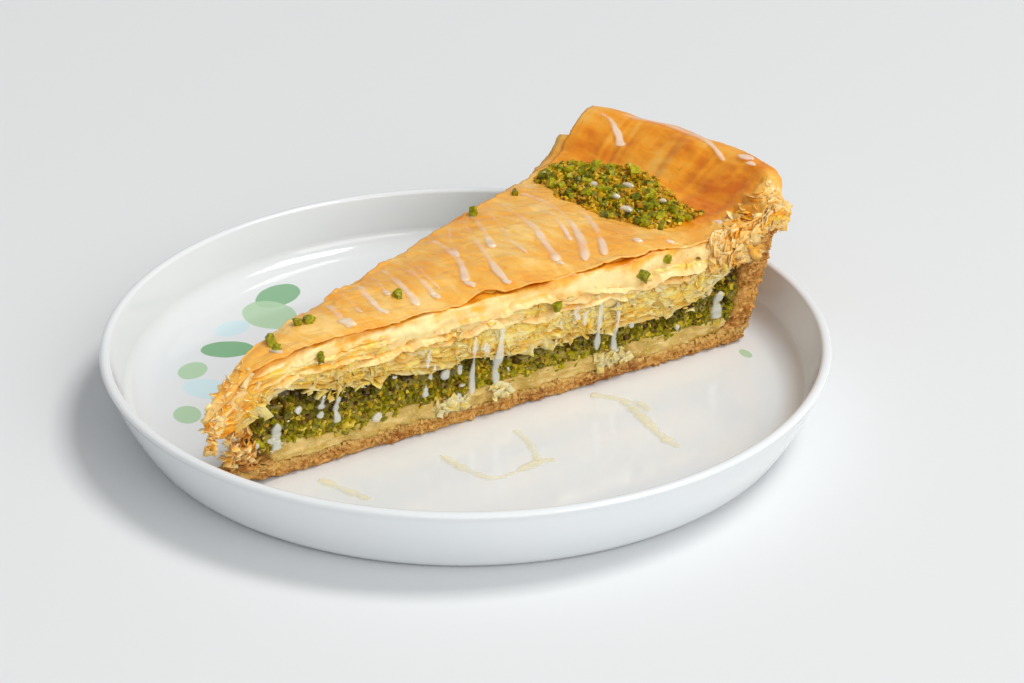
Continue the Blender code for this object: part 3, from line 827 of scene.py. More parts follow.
# %% Crust finish
def crust_finish():
    """Golden brown with darker baked patches, pale flour grains and reddish specks."""
    finish = Finish("baked_crust", Specular_IOR_Level=0.35)
    patch = finish.speckle(7.0, 4.0).between(0.36, 0.64)
    grain = finish.speckle(0.9, 4.0, (0.45, 0.45, 1.2)).between(0.40, 0.62)
    speck = finish.speckle(0.55, 2.0).between(0.60, 0.68)
    height = finish.node("ShaderNodeSeparateXYZ", {}, {0: finish.place}, 2)
    soaked_top = height.between(0.0062, 0.0079) * (1.0 - height.between(0.0082, 0.0092))
    color = finish.mix(patch, screen(206, 148, 64), screen(166, 100, 34))
    color = finish.mix(grain * 0.7, color, screen(232, 184, 104))
    color = finish.mix(soaked_top * 0.6, color, screen(226, 190, 108))
    color = finish.mix(speck * 0.7, color, screen(134, 68, 24))
    bump = finish.speckle(0.7, 4.0)
    return finish.paint(color, 0.72 - grain * 0.2, bump, 0.3, 0.9)


baked_crust = crust_finish()
add_piece("crust_slab", crust_shape(), baked_crust, "crust")

# %% [markdown]
# ## The soaked pastry
#
# Between the crust and the nuts lies a pale layer of sheets that soaked up syrup: it
# is smooth, greenish yellow, a little translucent, with faint lines along it. Its
# sheets can't be told apart, so it is one layer, and light goes a little way into it.

# %% Soaked pastry
def pastry_relief(reach, height, level, side):
    """Noise stretched along the layer for faint lines, plus three octaves of soft lumps."""
    lines = noise(reach / 7.0, height / 0.55, side * 3.0, 32)
    lumps = rough(reach / 2.4, height / 1.5, side * 3.0, 33, 3)
    return 0.22 * lines + 0.55 * lumps + 0.1


def pastry_finish():
    """Greenish yellow, streaked along the layer, with darker syrup stains and pale specks."""
    finish = Finish("soaked_pastry", Subsurface_Weight=0.25, Subsurface_Scale=0.002, IOR=1.45)
    streak = finish.speckle(2.6, 4.0, (0.4, 0.4, 2.2)).between(0.36, 0.64)
    stain = finish.speckle(6.0, 3.0).between(0.42, 0.62)
    grain = finish.speckle(0.5, 3.0)
    color = finish.mix(streak, screen(234, 202, 126), screen(210, 172, 80))
    color = finish.mix(stain * 0.6, color, screen(174, 138, 28))
    color = finish.mix(grain.between(0.58, 0.68) * 0.5, color, screen(242, 226, 176))
    return finish.paint(color, 0.34 + stain * 0.15, grain, 0.2, 0.9)


def pastry_base(reach, turn):
    """The level underside, 0.2 mm above the crust, for every reach and turn."""
    return CRUST_TOP + 0.2 + 0.0 * reach * turn


shape = slice_layer((300, 6, 14), outline_curve(10.0, pastry_base, 0.0),
                    outline_curve(10.0, pastry_height, 0.2), pastry_relief)
add_piece("soaked_pastry", shape[:2], pastry_finish(), "lower_pastry")

# %% [markdown]
# ## Scattered pieces
#
# Chopped nuts, flakes and crumbs are thousands of small broken bodies. They could be
# instances of a few objects. Here each is a squeezed, turned and dented copy of a
# block of 24 quads or of a thin curled plate, and all of one kind are one mesh.

# %% Scattering helpers
def chip_shape():
    """A cube cut once each way and pulled a little towards a ball."""
    places, faces = box_skin((2, 2, 2))
    cube = places - 1.0
    ball = cube / np.linalg.norm(cube, axis=1)[:, None]
    return 0.55 * cube + 0.45 * ball, faces


def flake_shape():
    """A thin curled plate, 4 by 2 fields, one long and 0.6 wide."""
    places, faces = box_skin((4, 2, 1))
    u, v, w = places[:, 0] / 2.0 - 1.0, places[:, 1] - 1.0, places[:, 2]
    return np.stack((u, 0.6 * v, 0.08 * w + 0.2 * u * u + 0.12 * v * u), -1), faces


def spins(draw, count, tilt=math.pi):
    """Random turns as matrices: any turn about the vertical, then a tilt about a random flat axis."""
    turn = draw.uniform(-math.pi, math.pi, count)
    lean = draw.uniform(-tilt, tilt, count)
    way = draw.uniform(-math.pi, math.pi, count)
    zero, one = np.zeros(count), np.ones(count)
    flat = np.array(((np.cos(turn), -np.sin(turn), zero),
                     (np.sin(turn), np.cos(turn), zero),
                     (zero, zero, one)))
    ax, ay = np.cos(way), np.sin(way)
    c, s = np.cos(lean), np.sin(lean)
    tipped = np.array(((c + ax * ax * (1 - c), ax * ay * (1 - c), ay * s),
                       (ax * ay * (1 - c), c + ay * ay * (1 - c), -ax * s),
                       (-ay * s, ax * s, c)))
    return np.einsum("ijn,jkn->nik", tipped, flat)


def scatter(base, centres, sizes, draw, squeeze=(0.45, 1.2), dent=0.24, turns=None):
    """Copies of a base shape at given centres (mm), each squeezed, dented and turned in its own way."""
    shape, quads = base
    count = len(centres)
    stretch = draw.uniform(*squeeze, (count, 1, 3))
    dents = 1.0 + draw.uniform(-dent, dent, (count, len(shape), 1))
    points = shape[None] * stretch * dents * sizes[:, None, None] / 2.0
    if turns is None:
        turns = spins(draw, count)
    points = np.einsum("nij,nkj->nki", turns, points) + centres[:, None]
    faces = quads[None] + (np.arange(count) * len(shape))[:, None, None]
    return points.reshape(-1, 3), faces.reshape(-1, quads.shape[1])


def on_cut(draw, count, first, last, low, high):
    """Random places on a cut face, spread evenly over its area between two heights."""
    reach = draw.uniform(first, last, 3 * count)
    span = high(reach) - low(reach)
    kept = draw.uniform(0.0, 1.0, 3 * count) * span.max() < span
    reach = reach[kept][:count]
    return reach, low(reach) + draw.uniform(0.0, 1.0, len(reach)) * span[kept][:count]


CHIP = chip_shape()
FLAKE = flake_shape()
print(f"a chip has {len(CHIP[1])} quads, a flake {len(FLAKE[1])}")

# %% [markdown]
# ## The pistachio filling
#
# Finely chopped pistachios in syrup: a dark olive paste full of green, yellow and
# brown bits. The bits alone would leave holes, so a core with a lumpy relief carries
# the paste, and thousands of chips lie in its cut faces. Green and yellow bits are
# many low down, dark skins are many high up, as on the real slice, and there they
# also paint the shade under the sheets: paste and chips are painted darker high up
# and in the hollows, which is painted shade.

# %% Filling core and chips
def filling_relief(reach, height, level, side):
    """Four octaves of lumps, less a hollow in the upper half, where nuts fell out under the sheets."""
    lumps = rough(reach / 2.0, height / 1.5, side * 3.0, 52, 4)
    hollows = smooth_step(0.55, 1.0, level) * (0.9 + 0.9 * noise(reach / 6.0, 0.0, side, 53))
    return 0.7 * lumps - 1.3 * hollows - 0.5


def paste_finish(name):
    """Olive paste, wet with syrup: browner where its tone is high, high up and in the hollows, which is
    painted shade under the sheets.
    """
    finish = Finish(name, Coat_Weight=0.35, Coat_Roughness=0.2, IOR=1.4)
    blot = finish.speckle(2.2, 4.0).between(0.36, 0.64)
    grain = finish.speckle(0.6, 3.0)
    # A high tone paints the paste dark brown: painted shade high up and in the hollows
    color = finish.mix(finish.tone(), screen(162, 142, 10), screen(60, 40, 4))
    color = finish.mix(blot * 0.6, color, screen(104, 88, 6))
    color = finish.mix(grain.between(0.56, 0.66) * 0.7, color, screen(176, 152, 28))
    return finish.paint(color, 0.5 - blot * 0.15, grain, 0.25, 0.9)


def nut_finish(name, dark, middle, pale, roughness=0.42):
    """Chopped nut: its tone picks a shade between dark and pale, and a fine mottle breaks it up."""
    finish = Finish(name, Coat_Weight=0.15, Coat_Roughness=0.12, IOR=1.33, Specular_IOR_Level=0.35)
    mottle = finish.speckle(0.8, 3.0)
    share = finish.tone() * 0.6 + mottle.between(0.34, 0.66) * 0.4
    color = finish.ramp(share, (0.0, dark), (1.0, pale), (0.5, middle))
    return finish.paint(color, roughness, mottle, 0.12, 0.7)


green_nut = nut_finish("green_nut", screen(50, 44, 2), screen(122, 112, 4), screen(190, 174, 16))
yellow_nut = nut_finish("yellow_nut", screen(148, 112, 4), screen(200, 166, 22), screen(236, 210, 88))
dark_nut = nut_finish("nut_skin", screen(38, 26, 4), screen(88, 62, 12), screen(150, 116, 30))


def filling_chips(draw, count, sizes, proud, low_share, high_share):
    """Chips of one kind in both cuts and the tip, kept by a share low down and one high up, and painted
    darker high up as shade under the sheets.
    """
    parts = []
    levels = []
    for side in (-1.0, 1.0):
        turn = side * HALF_TURN
        reach, height = on_cut(draw, count, 9.0, 132.0, lambda r: pastry_height(r, turn) - 0.8,
                               lambda r: filling_height(r, turn) - 0.2)
        lean = np.maximum(wall_reach(height, 1.2) - 132.5, 0.0) * smooth_step(120.0, 132.0, reach)
        reach = reach + lean
        level = (height - PASTRY_TOP) / (filling_height(reach, turn) - PASTRY_TOP)
        kept = draw.uniform(0.0, 1.0, len(reach)) < low_share + (high_share - low_share) * level
        reach, height, level = reach[kept], height[kept], level[kept]
        out = filling_relief(reach, height, level, side) * away_from_tip(reach)
        out = out + draw.uniform(*proud, len(reach))
        parts.append(cut_place(side, reach, out, height))
        levels.append(level)
    height = draw.uniform(PASTRY_TOP + 0.3, PASTRY_TOP + 9.6, count // 12)
    levels.append(0.1 * (height - PASTRY_TOP))
    x, y = plan(draw.uniform(7.2, 8.3, count // 12), draw.uniform(-HALF_TURN, HALF_TURN, count // 12))
    parts.append(np.stack((x, y, height), -1))
    centres = np.concatenate(parts)
    size = draw.uniform(0.0, 1.0, len(centres)) ** 2 * (sizes[1] - sizes[0]) + sizes[0]
    # A darker tone high up: painted shade under the sheets
    tone = np.clip(draw.uniform(0.0, 0.9, len(centres)) + 0.8 * (0.45 - np.concatenate(levels)), 0.0, 1.0)
    return scatter(CHIP, centres, size, draw), np.repeat(tone, len(CHIP[0]))


shape = slice_layer((330, 6, 30), outline_curve(8.0, pastry_height, 0.0),
                    outline_curve(8.0, filling_height, 0.0), filling_relief)
# The tone rises high up and where the relief lies back: painted shade under the sheets and in the hollows
tone = smooth_step(PASTRY_TOP + 1.0, FILLING_TOP + 1.0, shape[0][:, 2]) * smooth_step(0.6, -1.4, shape[2])
add_piece("filling_paste", shape[:2], paste_finish("pistachio_paste_painted_shade"),
          "pistachio_filling", tone)
# Kinds of chip: name, finish, count, sizes in mm, and the shares kept low down and high up; more dark skins
# high up also paint the shade under the sheets
FILLING_KINDS = (("filling_green", green_nut, 1900, (0.4, 2.2), (0.95, 0.35)),
                 ("filling_yellow", yellow_nut, 1700, (0.3, 1.5), (0.95, 0.25)),
                 ("filling_skins", dark_nut, 900, (0.4, 1.9), (0.15, 1.0)))
draw = np.random.default_rng(61)
for name, finish, count, sizes, shares in FILLING_KINDS:
    shape, tone = filling_chips(draw, count, sizes, (-0.5, 0.25), *shares)
    add_piece(name, shape, finish, tone=tone, crisp=38)

# %% [markdown]
# ## The mass of baked sheets
#
# Under the golden top lie dozens of paper-thin sheets, baked pale yellow and broken by
# the knife. Seen at the cut they are splinters and ledges along the slice, with dark
# pockets where they part from the nuts. The block's relief is a ridged noise, long
# along the reach and fine in height, so that it reads as torn layers.

# %% Sheet mass
def torn_layers(reach, height, side, seed):
    """Ridged noise in thin wavy layers: 1 on a splinter's edge, falling towards 0 between them."""
    waved = height + 0.7 * noise(reach / 9.0, 0.0, side, seed)
    waved = waved + 0.25 * noise(reach / 2.2, height / 3.0, side, seed + 1)
    return (1.0 - np.abs(noise(reach / 4.5, waved / 0.62, side * 2.0, seed + 2))) ** 3


def mass_relief(reach, height, level, side):
    """How far the torn face stands out: splinters, crumpled patches, and pockets low down."""
    crumple = rough(reach / 3.4, height / 2.6, side * 3.0, 71, 4)
    fine = noise(reach / 0.7, height / 0.5, side * 3.0, 76)
    open_place = noise(reach / 4.6, height / 1.9, side * 2.0, 78)
    pockets = smooth_step(0.30, 0.75, open_place) * (1.0 - smooth_step(0.15, 0.45, level))
    lift = 1.3 * smooth_step(0.0, 0.35, level)
    stand = 0.5 * torn_layers(reach, height, side, 72) + 0.6 * crumple + 0.15 * fine - 2.6 * pockets + lift
    under_top = smooth_step(0.74, 0.88, level)
    return stand * (1.0 - under_top) - 1.3 * under_top


def mass_top(u, turn):
    """The block's upper outline, a little under the golden sheet."""
    point = top_outline(u, turn)
    point[..., 1] -= 0.9 + 0.8 * smooth_step(0.78, 0.84, u) - 1.2 * smooth_step(0.92, 1.0, u)
    return point


def mass_under(u, turn):
    """The block's lower outline, over the nuts and up the wall."""
    return along(sheet_under(turn), u)


print(f"a torn layer stands out like {torn_layers(50.0, np.arange(25.0, 27.0, 0.4), -1.0, 72).round(2)}")

# %% [markdown]
# ## Finish of the baked sheets
#
# Dry sheets glow where light enters their edges. The colour is read off a ramp by the
# piece's own tone, which the shape worked out: deep yellow in the pockets and under the
# golden sheet, creamy on the splinters, which is painted shade and painted light on the
# relief. A few toasted spots and streaks along the leaves break it up.

# %% Sheet mass finish and piece
def mass_finish():
    """Pale yellow baked leaves: creamy splinters over deeper yellow hollows, painted light and shade by the
    tone, with a few toasted spots.
    """
    finish = Finish("pale_leaves", Subsurface_Weight=0.40, Subsurface_Scale=0.003,
                    Subsurface_Radius=(1.0, 0.7, 0.35), IOR=1.45, Specular_IOR_Level=0.3)
    streak = finish.speckle(2.4, 4.0, (0.35, 0.35, 1.6)).between(0.36, 0.64)
    patch = finish.speckle(8.0, 3.0).between(0.38, 0.66)
    cream = finish.speckle(3.0, 3.0).between(0.50, 0.66)
    toast = finish.speckle(1.3, 3.0).between(0.64, 0.72)
    # A low tone paints the pockets deep yellow, a high tone the splinters cream: painted shade and painted
    # light
    share = finish.tone() + (streak - 0.5) * 0.35 - patch * 0.15
    color = finish.ramp(share, (0.0, screen(240, 146, 20)), (1.0, screen(255, 236, 162)),
                        (0.35, screen(255, 198, 66)), (0.7, screen(255, 220, 108)))
    # More cream where the tone is high: painted light on the splinters
    color = finish.mix(cream * finish.tone() * 0.55, color, screen(255, 242, 190))
    color = finish.mix(toast * 0.18, color, screen(230, 158, 40))
    return finish.paint(color, 0.46, finish.speckle(0.5, 3.0), 0.15, 0.7)


def mass_shape():
    """The block and its tone: deep in the pockets and under the golden sheet, which is painted shade, and
    deep at the tip and in the rim.
    """
    points, faces, out = slice_layer((420, 6, 66), mass_under, mass_top, mass_relief)
    x, y, z = points.T
    reach = np.hypot(x - PIE_CENTRE[0], y - PIE_CENTRE[1])
    loose = (1.0 - smooth_step(4.0, 12.0, reach)) + smooth_step(140.0, 148.0, reach)
    points = roughen(points, faces, loose * (0.5 * rough(x / 1.6, y / 1.6, z / 0.9, 81, 3) - 0.1))
    gold_near = 0.30 * (1.0 - smooth_step(6.0, 20.0, reach)) + 0.55 * smooth_step(132.0, 142.0, reach)
    # The tone falls where the relief lies back: painted shade in the pockets and under the golden sheet
    return (points, faces), 0.25 + 0.60 * smooth_step(-1.2, 1.6, out) - gold_near


pale_leaves = mass_finish()
shape, tone = mass_shape()
add_piece("sheet_mass", shape, pale_leaves, "filo_top", tone)

# %% [markdown]
# ## Single leaves at the cut
#
# Some leaves stick out of the mass with ragged, wavy edges. Each is a closed strip
# along the cut, thicker inside than at its edge: its outer edge wanders by noise in
# three sizes, and it droops a little. Cloth could be simulated for it, but a formula
# for its edge and its height gives the same tears every time. The height of each strip
# is a share of the way between the nuts and the golden sheet.

# %% Pale leaf strips
LEAF_STEPS = (270, 5, 1)


def leaf(side, first, last, rise, edge, inner, droop, thickness, seed, steps=LEAF_STEPS):
    """A strip from inner to edge(reach) at height rise(reach), drooping towards its crumpled edge."""
    places, faces = box_skin(steps)
    u, v, w = (places / np.array(steps)).T
    reach = first + (last - first) * u
    fade = away_from_tip(reach)
    inside = -np.minimum(inner, 0.8 * half_width(reach))
    out = inside + (edge(reach) * fade - inside) * v
    crumple = 0.30 * noise(reach / 2.1, v * 2.0, side, seed)
    crumple = crumple + 0.16 * noise(reach / 0.8, v * 3.0, side, seed + 1)
    height = rise(reach) - droop * v ** 3 * (1.0 + 0.6 * noise(reach / 6.0, 0.0, side, seed + 2))
    height = height + crumple * v + w * thickness * (1.0 - 0.6 * v ** 2)
    points = cut_place(side, reach, out, height)
    return points, faces[:, ::-1] if side < 0 else faces


def ragged(mean, seed, side):
    """An edge that wanders round a mean stand-out: slow waves, short tears and fine teeth."""

    def edge(reach):
        """The mean plus noise of three sizes."""
        waves = 0.7 * noise(reach / 6.0, mean, side, seed) + 0.45 * noise(reach / 1.9, mean, side, seed + 1)
        return mean + waves + 0.22 * noise(reach / 0.7, mean, side, seed + 2)

    return edge


def level_height(level, side):
    """The height of a level between the nuts and the top sheet, along one cut."""

    def rise(reach):
        """A share of the way from the nuts to the top sheet, plus slow waves."""
        turn = side * HALF_TURN
        low, high = filling_height(reach, turn) + 0.3, top_height(reach, turn) - 0.9
        return low + (high - low) * level + 0.5 * noise(reach / 8.0, level * 9.0, side, 90)

    return rise


def pale_strips():
    """Nine leaves at each cut; the upper ones stand out further."""
    parts = []
    for side in (-1.0, 1.0):
        for number, level in enumerate((0.03, 0.11, 0.19, 0.27, 0.35, 0.43, 0.51, 0.59, 0.67)):
            mean = 0.5 + 1.1 * level
            end = 131.0 + 12.0 * level
            parts.append(leaf(side, -1.5 + 3.0 * (1.0 - level), end, level_height(level, side),
                              ragged(mean, 100 + 3 * number, side), 4.0, 0.9, 0.16, 130 + 3 * number))
    return join(parts)


shape = pale_strips()
add_piece("leaf_strips", shape, pale_leaves, tone=0.7 + 0.2 * noise(*shape[0].T / 5.0, 95))

# %% [markdown]
# ## The golden sheets
#
# The topmost sheets are brushed with butter and baked golden. The second and third sag
# over the cut, so each shows as a rounded ledge with a thin torn edge, and between
# them lies a deep orange crease, which is painted shade in the sheets' colour. One
# function makes such a sheet: level inside the slice, a quarter turn over the edge,
# then a torn hem.

# %% Golden sheet helpers
# How far below the top the second sheet's edge hangs: (reach, drop)
DRAPE_DROPS = ((-4.0, 3.0), (10.0, 4.2), (22.0, 3.4), (32.0, 4.6), (41.0, 6.0), (51.0, 4.5),
               (63.0, 6.2), (75.0, 7.2), (82.0, 6.2), (97.0, 8.2), (104.0, 6.8), (112.0, 5.6),
               (126.0, 4.4), (140.0, 5.0))
DRAPE_STEPS = (400, 16, 1)
DRAPE_REACH = (-3.8, 139.0)
LEVEL_SHARE = 0.4
BEND_RADIUS = 1.6


def sheet_detail(x, y):
    """Low bubbles and fine wrinkles of the top sheet, in mm of height."""
    bubbles = 0.36 * rough(x / 11.0, y / 9.0, 0.0, 151, 2)
    bent = x + 2.5 * noise(x / 14.0, y / 14.0, 0.0, 153) + 0.25 * y
    wrinkle = (1.0 - np.abs(noise(bent / 2.6, y / 9.0, 0.0, 154))) ** 4
    crack = (1.0 - np.abs(noise(x / 7.0, (y + 0.5 * x) / 3.0, 0.0, 155))) ** 9
    return bubbles + 0.26 * wrinkle - 0.20 * crack + 0.04 * rough(x / 0.9, y / 0.9, 0.0, 156, 2)


def drape(side, top_drop, bulge, drop_scale, extra, teeth, inner, thickness, seed):
    """A sheet that lies level inside the slice, rounds the cut's edge and hangs down, and its tone."""
    places, faces = box_skin(DRAPE_STEPS)
    u, v, w = (places / np.array(DRAPE_STEPS)).T
    reach = DRAPE_REACH[0] + (DRAPE_REACH[1] - DRAPE_REACH[0]) * u
    turn = side * HALF_TURN
    fade = smooth_step(-4.0, 12.0, reach)
    top = top_height(reach, turn) - top_drop * (1.0 + 0.35 * noise(reach / 9.0, 1.0, side, seed + 9))
    if side < 0:
        drops = np.interp(reach, *np.array(DRAPE_DROPS).T)
    else:
        drops = 5.0 + 1.6 * noise(reach / 14.0, 0, 0, seed)
    torn = 0.6 * noise(reach / 3.4, 0.0, side, seed + 1) + 0.4 * noise(reach / 1.1, 0.0, side, seed + 2)
    torn = torn - smooth_step(0.25, 0.6, noise(reach / 4.4, 7.0, side, seed + 8))
    hang = np.maximum(drops * drop_scale + extra + teeth * torn - top_drop, 0.6)
    flat = np.clip(v / LEVEL_SHARE, 0.0, 1.0)
    bend = np.clip((v - LEVEL_SHARE) / (1.0 - LEVEL_SHARE), 0.0, 1.0)
    angle = bend * math.pi / 2
    grown = 0.45 + 0.55 * smooth_step(28.0, 56.0, reach)
    reach_out = bulge * grown * (1.0 + 0.35 * noise(reach / 8.0, 0.0, side, seed + 3)) * fade
    inside = -np.minimum(inner, 0.8 * half_width(reach))
    start = reach_out - BEND_RADIUS
    out = np.where(v < LEVEL_SHARE, inside + (start - inside) * flat, start + BEND_RADIUS * np.sin(angle))
    flare = 0.5 * np.maximum(noise(reach / 5.0, 3.0, side, seed + 4), -0.3) * bend ** 2
    crease = (1.0 - np.abs(noise(reach / 7.0 + 1.5 * v, v * 3.0, side, seed + 7))) ** 4
    wrinkle = (1.0 - np.abs(noise(reach / 2.4 + 2.5 * v, v * 3.5, side, seed + 11))) ** 5
    ripple = 0.42 * noise(reach / 4.0, v * 2.5, side, seed + 5) + 0.75 * crease + 0.18 * wrinkle
    ripple = ripple + 0.12 * noise(reach / 1.3, v * 4.0, side, seed + 6)
    out = out + (flare + ripple * bend) * fade + w * thickness * np.sin(angle)
    height = top - hang * (1.0 - np.cos(angle)) - 0.5 * bend * (1.0 - bend)
    height = height + ripple * 0.6 + w * thickness * np.maximum(np.cos(angle), 0.15)
    points = cut_place(side, reach, out, height)
    streaks = noise(reach / 8.0 + 2.0 * v, v * 9.0, side, seed + 10)
    # Deep where the sheet lies under the one above and paler down the ledge: painted shade in the crease.
    # Paler on the ridges of wrinkles and creases: painted highlight.
    tone = 0.08 + 0.55 * smooth_step(0.42, 0.74, v) + 0.22 * smooth_step(0.82, 1.0, v)
    tone = tone + 0.16 * (grown - 0.6) + 0.12 * wrinkle
    tone = tone + 0.34 * streaks + 0.20 * crease * smooth_step(0.4, 0.6, v)
    return (points, faces[:, ::-1] if side < 0 else faces), np.clip(tone, 0.0, 1.0)


print(f"the second sheet hangs down by up to {np.array(DRAPE_DROPS)[:, 1].max():.1f} mm at the near cut")

# %% [markdown]
# ## Golden finishes
#
# Butter and sugar brown the sheets from pale straw to deep orange. Four colours on a
# ramp follow the sheet's tone, so the crease is deep, a painted shade, and the torn hem
# pale. The top sheet has a thin coat of syrup that shines. The sheets under it are
# nearly dry.

# %% Golden finishes
def golden_finish(name, coat, deep, middle, pale, edge_pale):
    """Baked golden sheet: its tone runs from the deep crease, a painted shade, to the pale torn edge, with
    flecks.
    """
    finish = Finish(name, Subsurface_Weight=0.16, Subsurface_Scale=0.002,
                    Subsurface_Radius=(1.0, 0.5, 0.15), Coat_Weight=coat, Coat_Roughness=0.16, IOR=1.42)
    cloud = finish.speckle(14.0, 4.0).between(0.34, 0.66)
    vein = finish.speckle(3.6, 4.0, (1.4, 0.5, 1.0)).between(0.36, 0.64)
    fleck = finish.speckle(0.9, 2.0).between(0.65, 0.72) * finish.speckle(8.0, 2.0).between(0.48, 0.58)
    share = finish.tone() + (cloud - 0.5) * 0.30 + (vein - 0.5) * 0.20
    color = finish.ramp(share, (0.0, deep), (1.0, edge_pale), (0.35, middle), (0.75, pale))
    color = finish.mix(fleck * 0.45, color, screen(182, 96, 24))
    fibre = finish.speckle(0.6, 4.0)
    return finish.paint(color, 0.28 + cloud * 0.14, fibre, 0.10, 0.6)


gold = golden_finish("golden_sheet", 0.35, screen(214, 108, 0), screen(244, 152, 20),
                     screen(248, 182, 78), screen(252, 206, 124))
second_gold = golden_finish("second_sheet", 0.08, screen(224, 126, 4), screen(248, 176, 50),
                            screen(254, 212, 138), screen(255, 228, 158))
print("finishes:", gold.material.name, second_gold.material.name)

# %% [markdown]
# ## Second and third sheets, and torn leaves
#
# Two sheets hang over each cut, the third deeper and more torn than the second. At the
# near cut several golden leaves came loose between them. They are the same strips as
# the pale leaves, tapered off at both ends, so that they grow out of the ledges.

# %% Second and third sheets
SECOND_SHEET = {"top_drop": 1.1, "bulge": 1.8, "drop_scale": 1.15, "extra": 0.4, "teeth": 1.3,
                "inner": 7.0, "thickness": 0.2, "seed": 160}
THIRD_SHEET = {"top_drop": 3.4, "bulge": 1.0, "drop_scale": 1.1, "extra": 2.6, "teeth": 2.2,
               "inner": 5.0, "thickness": 0.18, "seed": 180}
for side, cut in ((-1.0, "near"), (1.0, "far")):
    shape, tone = drape(side, **SECOND_SHEET)
    add_piece(f"second_sheet_{cut}", shape, second_gold, tone=tone)
    shape, tone = drape(side, **THIRD_SHEET)
    # The third sheet, under the second, gets a deeper tone: painted shade
    add_piece(f"third_sheet_{cut}", shape, second_gold, tone=tone - 0.12)

# %% Torn golden leaves
# On the near cut: first and last reach, drop below the top, stand-out, droop, and tone at the root, kept
# low as painted shade where the leaf goes into the cut
GOLD_LEAVES = (
    (-1.0, 46.0, 1.9, 1.9, 0.9, 0.10), (0.0, 52.0, 3.3, 2.3, 1.1, 0.10), (4.0, 42.0, 4.9, 2.7, 1.1, 0.10),
    (22.0, 62.0, 6.0, 3.0, 1.3, 0.30), (38.0, 80.0, 4.6, 3.7, 2.0, 0.30), (60.0, 99.0, 3.0, 3.5, 2.2, 0.30),
    (84.0, 131.0, 4.2, 3.7, 2.2, 0.30), (68.0, 128.0, 6.8, 3.5, 1.5, 0.30),
    (44.0, 72.0, 2.6, 3.2, 2.0, 0.30),
)


def gold_leaf(number, first, last, drop, out, droop):
    """One torn leaf a drop below the top, drawn in by 4.5 mm over its last 9 mm at both ends."""
    wander = ragged(out, 400 + 3 * number, -1.0)

    def edge(reach):
        """The ragged edge, drawn in where the leaf ends."""
        ends = smooth_step(first, first + 9.0, reach) * smooth_step(last, last - 9.0, reach)
        return wander(reach) - 4.5 * (1.0 - ends)

    def rise(reach):
        """The top's height less the leaf's drop, plus slow waves."""
        return top_height(reach, -HALF_TURN) - drop + 0.7 * noise(reach / 9.0, drop, 0.0, 420 + number)

    return leaf(-1.0, first, last, rise, edge, 5.0, droop, 0.22, 430 + 3 * number)


def gold_leaves():
    """All torn leaves, and a tone that grows from their roots, deep as painted shade, to their edges."""
    outward = np.clip((box_skin(LEAF_STEPS)[0][:, 1] / LEAF_STEPS[1] - 0.5) * 2.0, 0.0, 1.0)
    parts, tones = [], []
    for number, (*sizes, root) in enumerate(GOLD_LEAVES):
        points, faces = gold_leaf(number, *sizes)
        streaks = noise(points[:, 0] / 5.0, points[:, 1] / 2.0, 0.0, 450 + number)
        parts.append((points, faces))
        # Deep at the root, where the leaf goes into the cut: painted shade
        tones.append(root + 0.50 * outward + 0.18 * streaks)
    return join(parts), np.concatenate(tones)


shape, tone = gold_leaves()
add_piece("gold_leaves", shape, second_gold, tone=tone)

# %% [markdown]
# ## The top sheet
#
# The uppermost sheet covers the whole top and sweeps up into the rim, with fine
# wrinkles across, low bubbles and a crushed near end. Sculpting could make it, but a
# closed plate that follows the same outline as the mass under it fits everywhere, and
# the nut band and the icing can ask the same formulas where its surface is.

# %% Top sheet
TOP_STEPS = (430, 96, 1)


def top_edge(reach, side):
    """How far the top sheet stands out past the cut, in mm: it is torn back at two places."""
    tear = 2.6 * np.exp(-((reach - 65.5) / 4.5) ** 2) + 1.2 * np.exp(-((reach - 101.0) / 5.0) ** 2)
    wander = 0.5 * noise(reach / 7.0, 0.0, side, 201) + 0.28 * noise(reach / 1.8, 0.0, side, 202)
    wander = wander + 0.12 * noise(reach / 0.6, 0.0, side, 203)
    return (0.7 - tear * (side < 0)) * smooth_step(0.0, 10.0, reach) + wander


def sheet_level(height, reach, turn):
    """The outline's own height, kept where the reach folds back over the rim's edge."""
    return np.where(reach > 150.0, height, top_height(reach, np.clip(turn, -HALF_TURN, HALF_TURN)))


